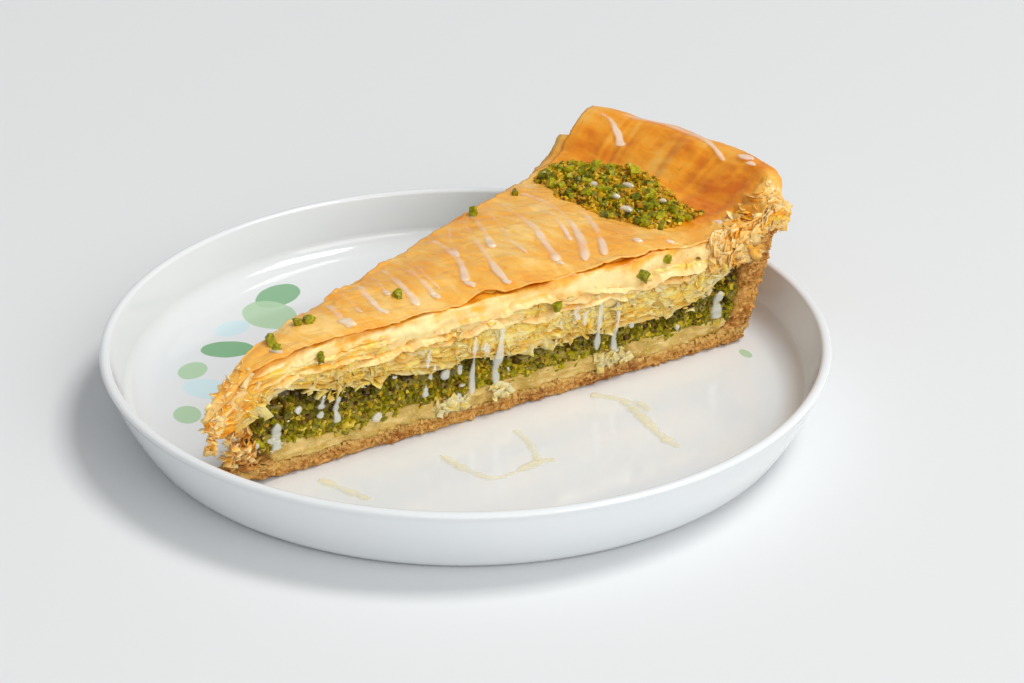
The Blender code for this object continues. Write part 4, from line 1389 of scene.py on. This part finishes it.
def top_sheet_shape():
    """The golden sheet from the tip over the dome and the valley up to the rim's edge, and its tone."""
    places, faces = box_skin(TOP_STEPS)
    u, v, w = (places / np.array(TOP_STEPS)).T
    share = 2.0 * v - 1.0
    point = top_outline(u, share * HALF_TURN)
    reach, height = point[:, 0], point[:, 1]
    edge = np.where(share < 0, top_edge(reach, -1.0), top_edge(reach, 1.0))
    edge = edge * smooth_step(154.0, 140.0, reach)
    turn = share * HALF_TURN * (1.0 + edge / half_width(reach) * share ** 2)
    x, y = plan(reach, turn)
    height = sheet_level(height, reach, turn)
    rim = smooth_step(128.0, 142.0, reach)
    folds = 0.8 * noise(0.0, share * 4.2, 0.0, 211) + 0.6 * noise(0.0, share * 9.0, reach / 20.0, 212)
    pull = rim * folds * smooth_step(153.0, 146.0, reach)
    x = x + pull * np.cos(turn)
    curl = 0.35 * smooth_step(0.90, 1.0, np.abs(share)) * noise(reach / 6.0, 0.0, share, 213)
    height = height + sheet_detail(x, y) * (1.0 - 0.4 * rim) + curl * (1.0 - rim)
    crushed = smooth_step(-0.66, -0.84, share) * smooth_step(125.0, 132.0, reach)
    crumple = (1.0 - 2.4 * np.abs(noise(x / 3.4, y / 2.6, height / 3.4, 216))
               + 0.8 * (0.4 - np.abs(noise(x / 1.2, y / 1.2, height / 1.2, 217))))
    height = height + crushed * 0.40 * crumple * smooth_step(154.0, 150.0, reach)
    x = x - crushed * (0.6 + 0.4 * crumple)
    streaks = noise(share * 24.0 + 0.6 * noise(share * 6.0, reach / 9.0, 0.0, 219), reach / 16.0, 0.0, 218)
    x = x - 0.22 * rim * streaks * smooth_step(153.0, 146.0, reach)
    height = height - (1.0 - w) * 0.32
    tone = 0.72 - 0.30 * smooth_step(119.0, 134.0, reach)
    # Deeper towards the rim's near end, painted shade in the valley's corner, and a little deeper along the
    # cut edges nearer the tip
    tone = tone - 0.30 * smooth_step(-0.25, -0.6, share) * smooth_step(118.0, 134.0, reach)
    tone = tone - 0.08 * smooth_step(0.95, 1.0, np.abs(share)) * smooth_step(126.0, 116.0, reach)
    # The rim's folds and streaks shift its tone into lighter and darker bands: painted fold shading
    tone = tone + crushed * (0.52 + 0.12 * crumple) + rim * (0.05 * folds + 0.18 * streaks)
    return (np.stack((x, y, height), -1), faces), tone


shape, tone = top_sheet_shape()
add_piece("top_sheet", shape, gold, tone=tone)

# %% [markdown]
# ## Flakes
#
# Broken flakes cling to the torn faces and pile up where the rim was cut, round the
# tip, and in three heaps on the soaked layer, where they fell. They could be modelled
# one by one where the photograph shows them. Thin curled plates, scattered with a
# random turn and a lean, some pale and some toasted, give the same look in one step.

# %% Flakes in the cut faces
def hang_down(reach, side):
    """How far the torn mass hangs over the nuts, in mm."""
    return 1.8 * np.maximum(noise(reach / 4.2, 2.0, side, 232), 0.0)


def onto_cut(side, turns):
    """Turns of flat shapes, tipped over so that they lie against a cut face."""
    out = np.array((-math.sin(HALF_TURN), side * math.cos(HALF_TURN), 0.0))
    run = np.array((math.cos(HALF_TURN), side * math.sin(HALF_TURN), 0.0))
    return np.stack((run, np.cross(out, run), out), -1) @ turns


def face_flakes(draw, count):
    """Pale flakes that lie in the face of each cut, and their tone."""
    parts = []
    for side in (-1.0, 1.0):
        turn = side * HALF_TURN
        reach, height = on_cut(draw, count, 4.0, 130.0,
                               lambda r: filling_height(r, turn) - 0.4 - hang_down(r, side),
                               lambda r: top_height(r, turn) - 5.5)
        low = filling_height(reach, turn)
        level = (height - low) / (top_height(reach, turn) - low)
        out = np.where(level > 0.0, mass_relief(reach, height, level, side), 0.7) * away_from_tip(reach)
        parts.append(cut_place(side, reach, out + draw.uniform(-0.35, 0.2, len(reach)), height))
    centres = np.concatenate(parts)
    sizes = 0.8 + 3.2 * draw.uniform(0.0, 1.0, len(centres)) ** 2
    shape = scatter(FLAKE, centres, sizes, draw, (0.7, 1.3), 0.12)
    return shape, np.repeat(draw.uniform(0.55, 1.05, len(centres)), len(FLAKE[0]))


print(f"the torn mass hangs down by {hang_down(np.arange(20.0, 60.0, 8.0), -1.0).round(1)} mm")

# %% Flakes at the rim
def rim_flakes(draw, count):
    """Flakes pressed against the near end of the rim and lying on it, where the knife crushed it."""
    against = int(count * 0.8)
    reach = 128.0 + 20.5 * draw.uniform(0.0, 1.0, against) ** 0.8
    high = top_height(reach, -HALF_TURN) - 0.6
    low = np.maximum(high - 10.0, 33.0)
    height = low + (high - low) * draw.uniform(0.0, 1.0, against)
    side_centres = cut_place(-1.0, reach, draw.uniform(-0.4, 0.9, against), height)
    reach = draw.uniform(134.0, 149.0, count - against)
    turn = -HALF_TURN * draw.uniform(0.84, 1.0, count - against)
    x, y = plan(reach, turn)
    upper_centres = np.stack((x, y, top_height(reach, turn) + draw.uniform(-0.3, 0.4, count - against)), -1)
    turns = np.concatenate((onto_cut(-1.0, spins(draw, against, 0.6)), spins(draw, count - against, 0.7)))
    sizes = 1.2 + 3.6 * draw.uniform(0.0, 1.0, count) ** 2
    tone = np.repeat(draw.uniform(0.35, 1.05, count), len(FLAKE[0]))
    centres = np.concatenate((side_centres, upper_centres))
    return scatter(FLAKE, centres, sizes, draw, (0.7, 1.3), 0.12, turns), tone


def valley_flakes(draw, count):
    """Pale flakes at the near cut under the rim, where the sheets turn up."""
    reach = draw.uniform(127.0, 141.0, count)
    high = top_height(reach, -HALF_TURN) - 1.2
    height = high - draw.uniform(0.0, 7.5, count)
    centres = cut_place(-1.0, reach, draw.uniform(0.6, 2.4, count), height)
    tone = np.repeat(draw.uniform(0.35, 1.0, count), len(FLAKE[0]))
    sizes = 1.4 + 3.4 * draw.uniform(0.0, 1.0, count) ** 2
    turns = onto_cut(-1.0, spins(draw, count, 0.8))
    return scatter(FLAKE, centres, sizes, draw, (0.7, 1.3), 0.12, turns), tone


print(f"flakes lie against the rim's near end from {top_height(149.0, -HALF_TURN):.0f} mm down")

# %% Flakes at the tip and on the soaked layer
def tip_flakes(draw, count):
    """Toasted flakes round the tip, where the sheets and the crust broke."""
    low = int(count * 0.4)
    reach = np.concatenate((draw.uniform(-4.4, 7.0, count - low), draw.uniform(0.5, 9.5, low)))
    turn = draw.uniform(-0.95, 0.95, count) * HALF_TURN
    height = top_height(reach, turn) - draw.uniform(-0.3, 8.0, count)
    height[count - low:] = draw.uniform(10.5, 18.0, low)
    x, y = plan(reach, turn)
    sizes = draw.uniform(0.9, 2.8, count)
    tone = np.repeat(draw.uniform(0.3, 1.0, count), len(FLAKE[0]))
    return scatter(FLAKE, np.stack((x, y, height), -1), sizes, draw, (0.7, 1.4), 0.12), tone


def crust_tip_flakes(draw, count):
    """Flat brown flakes where the crust's tip broke into layers."""
    reach = draw.uniform(0.5, 10.0, count)
    x, y = plan(reach, draw.uniform(-1.0, 1.0, count) * HALF_TURN)
    height = draw.uniform(SLICE_BOTTOM + 1.0, CRUST_TOP + 1.2, count) + tip_curl(reach)
    sizes = draw.uniform(1.8, 4.6, count)
    turns = spins(draw, count, 0.5)
    return scatter(FLAKE, np.stack((x, y, height), -1), sizes, draw, (0.7, 1.3), 0.16, turns)


# Heaps of fallen flakes on the soaked layer: middle reach, half length, count
FALLEN = ((99.0, 4.6, 44), (68.5, 2.4, 18), (55.5, 4.2, 36))


def fallen_flakes(draw):
    """Pale crumpled flakes that fell onto the soaked layer of the near cut."""
    reach = np.concatenate([draw.uniform(middle - half, middle + half, count)
                            for middle, half, count in FALLEN])
    turn = np.full(len(reach), -HALF_TURN)
    low = pastry_base(reach, turn)
    height = low + (pastry_height(reach, turn) - low) * draw.uniform(0.25, 1.0, len(reach))
    centres = cut_place(-1.0, reach, draw.uniform(0.5, 1.5, len(reach)), height)
    tone = np.repeat(draw.uniform(0.8, 1.2, len(reach)), len(FLAKE[0]))
    sizes = 0.9 + 2.2 * draw.uniform(0.0, 1.0, len(reach)) ** 1.5
    turns = onto_cut(-1.0, spins(draw, len(reach), 0.9))
    return scatter(FLAKE, centres, sizes, draw, (0.7, 1.3), 0.2, turns), tone


print(f"{len(FALLEN)} heaps of fallen flakes")

# %% Flake pieces and the rim's fold
draw = np.random.default_rng(231)
for name, maker, finish, count in (("cut_flakes", face_flakes, pale_leaves, 900),
                                   ("rim_flakes", rim_flakes, second_gold, 480),
                                   ("valley_flakes", valley_flakes, second_gold, 120),
                                   ("tip_flakes", tip_flakes, second_gold, 420)):
    shape, tone = maker(draw, count)
    add_piece(name, shape, finish, tone=tone)
add_piece("crust_tip_flakes", crust_tip_flakes(draw, 70), baked_crust)
shape, tone = fallen_flakes(draw)
add_piece("fallen_flakes", shape, pale_leaves, tone=tone)
fold = leaf(1.0, 129.0, 143.0, lambda r: top_height(r, HALF_TURN) - 0.9, ragged(3.4, 235, 1.0),
            inner=6.0, droop=0.5, thickness=0.4, seed=236)
add_piece("rim_fold", fold, gold, tone=np.full(len(fold[0]), 0.7))

# %% [markdown]
# ## The band of chopped nuts
#
# A loose band of chopped pistachios lies in the valley in front of the rim. They could
# be dropped by a physics run. Here their places are drawn at random, thick in the
# middle of the band and thin at its outline: a lumpy bed fills the space between the
# pieces, and over five thousand chips lie on it, from crumbs to half nuts.

# %% Nut band
def band_place(u, v):
    """Reach and turn in the band, whose ends are narrower than its middle."""
    turn = HALF_TURN * (-0.60 + 1.52 * v)
    narrow = 0.60 + 0.40 * np.sin(math.pi * np.clip(v, 0.04, 0.96)) - 0.20 * smooth_step(0.6, 1.0, v)
    middle = 125.8 + 1.6 * smooth_step(0.5, 1.0, v)
    return middle + 22.0 * (u - 0.5) * narrow + 1.6 * noise(v * 7.0, u * 2.0, 0.0, 241), turn


def band_depth(u, v):
    """Depth of the bed: nothing at its outline, full in its middle."""
    inside = np.clip(3.2 * np.minimum(u, 1.0 - u), 0, 1) * np.clip(5.0 * np.minimum(v, 1.0 - v), 0, 1)
    return 1.5 * np.sqrt(np.maximum(inside, 0.0)) * (1.0 + 0.5 * noise(u * 4.0, v * 9.0, 0.0, 242))


def glazed_top(reach, turn):
    """The top sheet's real surface, wrinkles included."""
    x, y = plan(reach, turn)
    return x, y, top_height(reach, turn) + sheet_detail(x, y)


def band_bed():
    """A closed lumpy sheet on the glazed top, as deep as the band is there."""
    steps = (48, 120, 2)
    places, faces = box_skin(steps)
    u, v, w = (places / np.array(steps)).T
    reach, turn = band_place(u, v)
    x, y, z = glazed_top(reach, turn)
    depth = band_depth(u, v)
    lumps = 0.45 * rough(x / 1.4, y / 1.4, 0.0, 245, 3) * np.minimum(depth, 1.0)
    return np.stack((x, y, z - 0.25 + w * (0.1 + np.maximum(depth * 0.7 + lumps, 0.0))), -1), faces


def band_chips(draw, count, sizes):
    """Chips on the bed: thick in its middle, thinning out over its outline."""
    u = 0.5 + 0.5 * np.clip(draw.normal(0.0, 0.52, count), -1.06, 1.06)
    v = draw.uniform(-0.02, 1.02, count)
    size = sizes[0] + (sizes[1] - sizes[0]) * draw.uniform(0.0, 1.0, count) ** 3
    reach, turn = band_place(u, np.clip(v, -0.02, 1.02))
    x, y, z = glazed_top(reach, np.clip(turn, -HALF_TURN, 0.97 * HALF_TURN))
    depth = band_depth(np.clip(u, 0, 1), np.clip(v, 0, 1))
    z = z + depth * draw.uniform(0.35, 1.15, count) + 0.28 * size
    tone = draw.uniform(0.0, 1.0, count)
    return scatter(CHIP, np.stack((x, y, z), -1), size, draw), np.repeat(tone, len(CHIP[0]))


bright_nut = nut_finish("bright_nut", screen(60, 64, 4), screen(134, 132, 6), screen(200, 186, 28))
golden_nut = nut_finish("golden_nut", screen(150, 90, 2), screen(198, 150, 8), screen(232, 200, 56))
draw = np.random.default_rng(251)
add_piece("nut_bed", band_bed(), paste_finish("band_paste"), "pistachio_topping")
for name, finish, count, sizes in (("band_green", bright_nut, 900, (0.4, 2.5)),
                                   ("band_yellow", golden_nut, 4100, (0.3, 1.5)),
                                   ("band_skins", dark_nut, 160, (0.5, 1.6))):
    shape, tone = band_chips(draw, count, sizes)
    add_piece(name, shape, finish, tone=tone, crisp=38)

# %% [markdown]
# ## Icing
#
# Thin sugar icing was swung over the pie in strands. It ran together in drops, hangs
# in drips on the cut and left pale puddles on the plate. It could be poured as a fluid,
# which takes long and lands anywhere. Here every run of icing is a flattened tube along
# a smooth line, drawn to a point at both ends. Its tone is high where it is thick, and
# the finish turns that into how much shows through.

# %% Icing helpers
TUBE_SIDES = 14


def tube(path, side, up, wide, tall):
    """Ellipses round a path, closed by a corner at both ends, and a tone that is 1 on the crest."""
    angle = np.linspace(0.0, math.tau, TUBE_SIDES, endpoint=False)
    rings = (path[1:-1, None] + side[1:-1, None] * (np.cos(angle)[:, None] * wide[1:-1, None, None])
             + up[1:-1, None] * (np.sin(angle)[:, None] * tall[1:-1, None, None]))
    points = np.concatenate((rings.reshape(-1, 3), path[:1], path[-1:]))
    crest = np.clip(np.sin(angle), 0.0, 1.0) ** 2 * np.clip(tall[1:-1, None] / 0.4, 0.35, 1.0)
    return ringed_skin(points, len(rings), TUBE_SIDES), np.concatenate((crest.ravel(), (0.1, 0.1)))


def smooth_line(stations, steps):
    """Evenly spaced places on the smooth curve through two-number stations."""
    stations = [tuple(float(value) for value in station) for station in stations]
    return along(stations, np.linspace(0.0, 1.0, steps))


def run_frame(path, face):
    """The direction across a path at each place, and the direction out of the surface under it."""
    ahead = np.gradient(path, axis=0)
    across = np.cross(ahead, face)
    across /= np.maximum(np.linalg.norm(across, axis=1), 1e-9)[:, None]
    out = np.cross(across, ahead)
    return across, out / np.maximum(np.linalg.norm(out, axis=1), 1e-9)[:, None]


def swell(steps, seed, ends=0.12):
    """A width along a run: uneven, and rounded off over its ends."""
    t = np.linspace(0.0, 1.0, steps)
    inward = np.clip(np.minimum(t, 1.0 - t) / ends, 0.0, 1.0)
    slow = 0.38 * noise(t * 5.0, seed * 1.7, 0.0, 301)
    quick = 0.16 * noise(t * 13.0, seed * 1.7, 0.0, 302)
    return np.sqrt(inward * (2.0 - inward)) * (1.0 + slow + quick)


def blob(centre, across, up, out, seed, uneven=0.22):
    """A drop: a ball stretched along three directions and pushed about by slow noise, and its tone."""
    latitude = np.linspace(-math.pi / 2, math.pi / 2, 15)[1:-1]
    longitude = np.linspace(0.0, math.tau, 20, endpoint=False)
    lat, lon = np.meshgrid(latitude, longitude, indexing="ij")
    ball = np.stack((np.cos(lat) * np.cos(lon), np.cos(lat) * np.sin(lon), np.sin(lat)), -1)
    ball = np.concatenate((ball.reshape(-1, 3), [(0, 0, -1), (0, 0, 1)]))
    ball = ball * (1.0 + uneven * noise(ball[:, 0] * 1.3, ball[:, 1] * 1.3, seed * 2.3, 311))[:, None]
    points = centre + ball[:, :1] * across + ball[:, 1:2] * up + ball[:, 2:] * out
    shape = ringed_skin(points, len(latitude), len(longitude))
    return shape, np.clip(0.25 + 0.75 * ball[:, 2], 0.1, 1.0)


print(f"a run's width goes like {swell(7, 0).round(2)}")

# %% [markdown]
# ## Strands and drops on the top
#
# The strands cross the slice from its far edge to its near one, thin at first and
# heavier where the icing ran down. The places of the strands follow the photograph.
# They could be painted on, but raised runs catch the light as the real ones do.

# %% Strands and blobs
# Strands: reach in mm and percent of the half width, from the far edge to the near one
STRANDS = (
    ((34.5, 80), (31.4, -30), (30.9, -85)), ((46.7, 85), (42.9, 25), (40.5, -55)),
    ((56.5, 88), (51.8, 11), (48.9, -78)), ((58.6, 45), (56.2, -16), (54.7, -60)),
    ((76.3, 90), (72.0, 35), (69.0, -5), (63.9, -55)), ((88.9, 90), (79.5, 24), (73.4, -48), (71.9, -88)),
    ((93.1, 90), (86.0, 45), (79.8, 0)), ((103.4, 85), (97.3, 29), (91.0, -34), (87.6, -75)),
    ((112.0, 85), (108.8, 34), (101.1, -32), (93.6, -88)), ((112.5, 12), (107.0, -30), (99.4, -86)),
    ((149.8, 86), (148.0, 70), (142.5, 52)), ((151.8, 72), (152.4, 38), (151.4, -4), (147.7, -38)),
    ((40.5, 84), (38.0, 20), (36.6, -34)), ((52.5, 88), (48.6, 35), (46.4, -10)),
    ((66.0, 92), (62.5, 50), (58.8, 0), (57.4, -48)), ((84.0, 92), (77.0, 60), (71.0, 15)),
    ((98.5, 90), (93.0, 55), (86.5, 5), (83.6, -44)), ((107.5, 70), (104.6, 25), (97.0, -42)),
)
MAIN_STRANDS = 12
STRAND_STEPS = 72


def top_strands():
    """Runs on the smoothed top, thicker towards their near ends, with a patchy tone."""
    parts, tones = [], []
    for number, stations in enumerate(STRANDS):
        reach, percent = smooth_line(stations, STRAND_STEPS).T
        turn = HALF_TURN * percent / 100.0
        x, y, z = glazed_top(reach, turn)
        z = np.convolve(np.pad(z, 5, mode="edge"), np.full(11, 1.0 / 11.0), mode="valid")
        path = np.stack((x, y, z), -1)
        across, out = run_frame(path, np.array((0.0, 0.0, 1.0)))
        heavy = np.linspace(0.0, 1.0, STRAND_STEPS) ** 3
        full = 1.25 if number < MAIN_STRANDS else 0.75
        wide = full * swell(STRAND_STEPS, number) * (0.85 + 0.30 * heavy)
        shape, tone = tube(path, across, out, wide, 0.20 * wide + 0.34 * wide * heavy)
        parts.append(shape)
        tones.append(tone * (0.84 + 0.34 * noise(shape[0][:, 0] / 3.0, shape[0][:, 1] / 3.0, 0.0, 303)))
    return join(parts), np.concatenate(tones)


# Blobs of icing: reach, percent of the half width, half width and half height in mm
TOP_BLOBS = (
    (31.5, -55, 2.0, 0.6), (41.0, -60, 1.3, 0.5), (13.5, -45, 1.5, 0.6), (64.5, -62, 1.5, 0.6),
    (55.0, -64, 1.2, 0.5), (72.0, -86, 1.1, 0.5), (110.1, -80, 1.3, 0.6), (117.0, -92, 1.1, 0.6),
    (118.5, -26, 1.5, 0.9), (122.5, 2, 1.2, 0.8), (124.0, 34, 1.3, 0.9), (129.0, 8, 1.3, 0.9),
    (128.5, -34, 0.9, 0.7), (88.0, -78, 1.0, 0.5), (134.0, -84, 1.5, 0.6), (151.2, -50, 1.8, 0.6),
    (149.8, -59, 1.3, 0.5),
)
NUT_HEAP = 2.5


def top_blobs():
    """Drops on the top; those over the nut band lie on the nuts."""
    parts, tones = [], []
    for number, (reach, percent, wide, tall) in enumerate(TOP_BLOBS):
        x, y, z = glazed_top(np.array(reach), np.array(HALF_TURN * percent / 100.0))
        if 112.0 < reach < 135.0 and percent > -70:
            z = z + NUT_HEAP
        shape, tone = blob(np.array((x, y, z)), np.array((0.75 * wide, 0.3 * wide, 0.0)),
                           np.array((-0.3 * wide, 1.2 * wide, 0.0)), np.array((0.0, 0.0, tall)), number)
        parts.append(shape)
        tones.append(tone)
    return join(parts), np.concatenate(tones)


print(f"{len(STRANDS)} strands and {len(TOP_BLOBS)} drops on the top")

# %% [markdown]
# ## Icing on the near cut
#
# Icing ran over the edge and hangs on the cut in drips, drops and small smears. They
# lie on the outermost parts of the cut, not in its hollows, so one curve says how far
# those stand out at each height, and drips and drops both follow it.

# %% Drips, drops and smears
# Drips: reach, height of their top and of their lower end, half width
DRIPS = (
    (48.9, 27.0, 21.8, 0.8), (60.6, 27.5, 11.0, 0.9), (67.5, 28.5, 12.2, 1.5), (48.7, 17.2, 13.8, 0.9),
    (94.9, 27.0, 13.2, 1.0), (99.8, 26.0, 10.6, 0.95), (129.5, 20.5, 12.6, 1.9), (10.8, 18.5, 11.6, 1.7),
    (26.0, 21.0, 13.8, 1.1), (22.0, 22.5, 19.0, 1.0), (57.5, 12.6, 8.6, 1.5), (88.0, 27.5, 23.5, 1.2),
)
DRIP_STEPS = 48
# Drops on the near cut: reach, height, radius
DROPS = ((53.5, 18.4, 1.35), (104.5, 17.6, 0.8), (16.0, 20.5, 1.0), (36.0, 12.5, 1.2), (118.0, 13.4, 0.8))


# How far the near cut's outermost parts stand out: (height, distance)
STAND_OUT = ((5.0, 0.9), (11.0, 0.8), (16.0, 0.6), (20.0, 1.7), (26.0, 2.7), (31.0, 2.3), (35.0, 1.0))


def face_stand_out(height):
    """How far the near cut's outermost parts stand out at a height, read off STAND_OUT."""
    return np.interp(height, *np.array(STAND_OUT).T)


def smear_places(draw, count):
    """Small smears of icing in clusters on the near cut: reach, height, radius."""
    middle = draw.choice((12.0, 24.0, 48.0, 58.0, 66.0, 97.0, 129.0), count)
    return np.stack((middle + draw.normal(0.0, 3.4, count), draw.uniform(10.0, 24.0, count),
                     draw.uniform(0.35, 1.0, count)), -1)


def cut_icing():
    """Drips that sway as they run down, then drops and smears, all on the near cut."""
    parts, tones = [], []
    along_cut = np.array((math.cos(HALF_TURN), -math.sin(HALF_TURN), 0.0))
    away = np.array((-math.sin(HALF_TURN), -math.cos(HALF_TURN), 0.0))
    for number, (reach, high, low, wide) in enumerate(DRIPS):
        t = np.linspace(0.0, 1.0, DRIP_STEPS)
        height = high + (low - high) * t
        sway = reach + 0.5 * noise(t * 2.5, number * 3.1, 0.0, 321)
        path = cut_place(-1.0, sway, face_stand_out(height), height)
        across, out = run_frame(path, away)
        width = wide * swell(DRIP_STEPS, 40 + number, 0.16) * (0.72 + 0.4 * t ** 2)
        shape, tone = tube(path, across, out, width, 0.5 * width)
        parts.append(shape)
        tones.append(np.clip(tone * 1.1, 0.0, 1.0))
    smears = smear_places(np.random.default_rng(325), 20)
    for number, (reach, height, radius) in enumerate(np.concatenate((DROPS, smears))):
        centre = cut_place(-1.0, reach, np.array(face_stand_out(height) + 0.1), height)
        drop = number < len(DROPS)
        tall = radius * (1.0 if drop else 1.2 + 0.8 * math.sin(7.0 * number))
        shape, tone = blob(centre, along_cut * radius, np.array((0.0, 0.0, tall)), away * radius * 0.6,
                           60 + number, 0.2 if drop else 0.5)
        parts.append(shape)
        tones.append(tone)
    return join(parts), np.concatenate(tones)


print(f"{len(DRIPS)} drips and {len(DROPS)} drops on the near cut")

# %% [markdown]
# ## Icing on the plate
#
# Icing dripped onto the plate's floor and left thin yellowish runs. They are flat tubes
# too, half sunk into the floor, and their outlines wander with the place on the plate.

# %% Puddles
# Places in mm along each run, and its half width
PUDDLES = (
    (((-29.0, -21.5), (-29.5, -31.0), (-27.0, -38.0), (-15.5, -39.5), (-12.0, -41.5)), 1.5),
    (((-9.0, -25.0), (-11.5, -32.5), (-15.5, -39.0)), 1.2),
    (((15.5, -25.5), (18.7, -32.0), (16.6, -40.0), (12.8, -50.0), (11.5, -57.0)), 1.8),
    (((18.7, -31.0), (20.5, -36.0), (19.5, -41.0)), 1.1),
    (((-55.5, -11.0), (-54.5, -18.5), (-53.4, -25.5)), 1.5),
)
PUDDLE_STEPS = 96


def puddle_runs():
    """Flat runs on the plate's floor."""
    parts, tones = [], []
    for number, (stations, wide) in enumerate(PUDDLES):
        x, y = smooth_line(stations, PUDDLE_STEPS).T
        path = np.stack((x, y, np.full(PUDDLE_STEPS, PLATE_FLOOR)), -1)
        across, out = run_frame(path, np.array((0.0, 0.0, 1.0)))
        width = wide * swell(PUDDLE_STEPS, 80 + number, 0.06)
        width = width * (1.0 + 0.35 * noise(x / 1.7, y / 1.7, 0.0, 331))
        shape, tone = tube(path, across, out, width, 0.10 + 0.10 * width)
        parts.append(shape)
        tones.append(tone)
    return join(parts), np.concatenate(tones)


print(f"{len(PUDDLES)} runs on the plate")

# %% [markdown]
# ## The icing's finish
#
# Sugar icing is wet and glossy, clear where it is thin and milky where it is thick. A
# glass shader would show that too, at a high cost. Here the alpha follows the tone, so
# the golden sheet shines through the thin places, and a clear coat gives the gloss.

# %% Icing finishes and pieces
def icing_finish(name, color, thin, thick):
    """Wet sugar icing: clear where it is thin, milky where it is thick."""
    finish = Finish(name, Coat_Weight=1.0, Coat_Roughness=0.04)
    milk = finish.speckle(2.0, 2.0).between(0.3, 0.7)
    depth = finish.tone().between(0.0, 0.9)
    finish.feed(finish.shader.inputs["Alpha"], depth * (thick - thin) + thin)
    return finish.paint(finish.mix(milk * 0.4, color, screen(255, 252, 244)), 0.10)


top_icing = icing_finish("strand_icing", screen(255, 246, 220), 0.0, 0.58)
drip_icing = icing_finish("drip_icing", screen(246, 250, 238), 0.02, 0.56)
puddle_icing = icing_finish("puddle_icing", screen(254, 246, 204), 0.04, 0.72)
for name, maker, finish, slot in (("icing_strands", top_strands, top_icing, "filo_top"),
                                  ("icing_blobs", top_blobs, top_icing, "filo_top"),
                                  ("icing_drips", cut_icing, drip_icing, "filo_top"),
                                  ("icing_puddles", puddle_runs, puddle_icing, "plate")):
    shape, tone = maker()
    add_piece(name, shape, finish, tone=tone)

# %% [markdown]
# ## Loose bits
#
# A few nut bits lie on the top and on the ledges of the sheets, and grains of crust
# stick to the cut and to the wall. They are the same chips as in the filling: the nut
# bits in places read off the photograph, the grains in random ones.

# %% Loose nuts and crust grains
# Reach and percent of the half width
TOP_BITS = ((47.7, -23), (25.4, 31), (23.3, 55), (15.0, 55), (13.8, -40), (111.0, 88), (94.0, 90),
            (119.0, -50))
# Bits on the near ledges: reach, stand-out and height in mm
LEDGE_BITS = ((114.0, 1.8, 32.6), (106.5, 2.4, 30.6), (81.8, 4.1, 29.4), (22.0, 2.0, 31.5))


def loose_bits(draw):
    """Single nut bits on the top and on the near ledges, and their tone."""
    reach, percent = np.array(TOP_BITS).T
    x, y, z = glazed_top(reach, HALF_TURN * percent / 100.0)
    ledge = np.array(LEDGE_BITS)
    centres = np.concatenate((np.stack((x, y, z + 0.4), -1), cut_place(-1.0, *ledge.T)))
    sizes = draw.uniform(1.7, 2.8, len(centres))
    shape = scatter(CHIP, centres, sizes, draw, (0.6, 1.15), 0.36)
    return shape, np.repeat(draw.uniform(0.2, 0.9, len(centres)), len(CHIP[0]))


def crust_grains(draw, count):
    """Grains on both cuts of the base and the wall."""
    parts = []
    for side in (-1.0, 1.0):
        reach = draw.uniform(4.0, 138.0, count)
        height = draw.uniform(SLICE_BOTTOM + 0.4, CRUST_TOP + 0.3, count) + tip_curl(reach)
        wall_height = draw.uniform(SLICE_BOTTOM + 1.0, WALL_TOP, count // 2)
        wall = wall_reach(wall_height, 0.0) + draw.uniform(0.2, WALL_THICKNESS, count // 2)
        reach, height = np.concatenate((reach, wall)), np.concatenate((height, wall_height))
        out = crust_relief(reach, height, 0.0, side) * away_from_tip(reach)
        parts.append(cut_place(side, reach, out, height))
    centres = np.concatenate(parts)
    sizes = 0.4 + 1.0 * draw.uniform(0.0, 1.0, len(centres)) ** 2
    return scatter(CHIP, centres, sizes, draw)


draw = np.random.default_rng(341)
shape, tone = loose_bits(draw)
add_piece("loose_nuts", shape, bright_nut, tone=tone, crisp=38)
add_piece("crust_grains", crust_grains(draw, 1300), baked_crust, crisp=38)
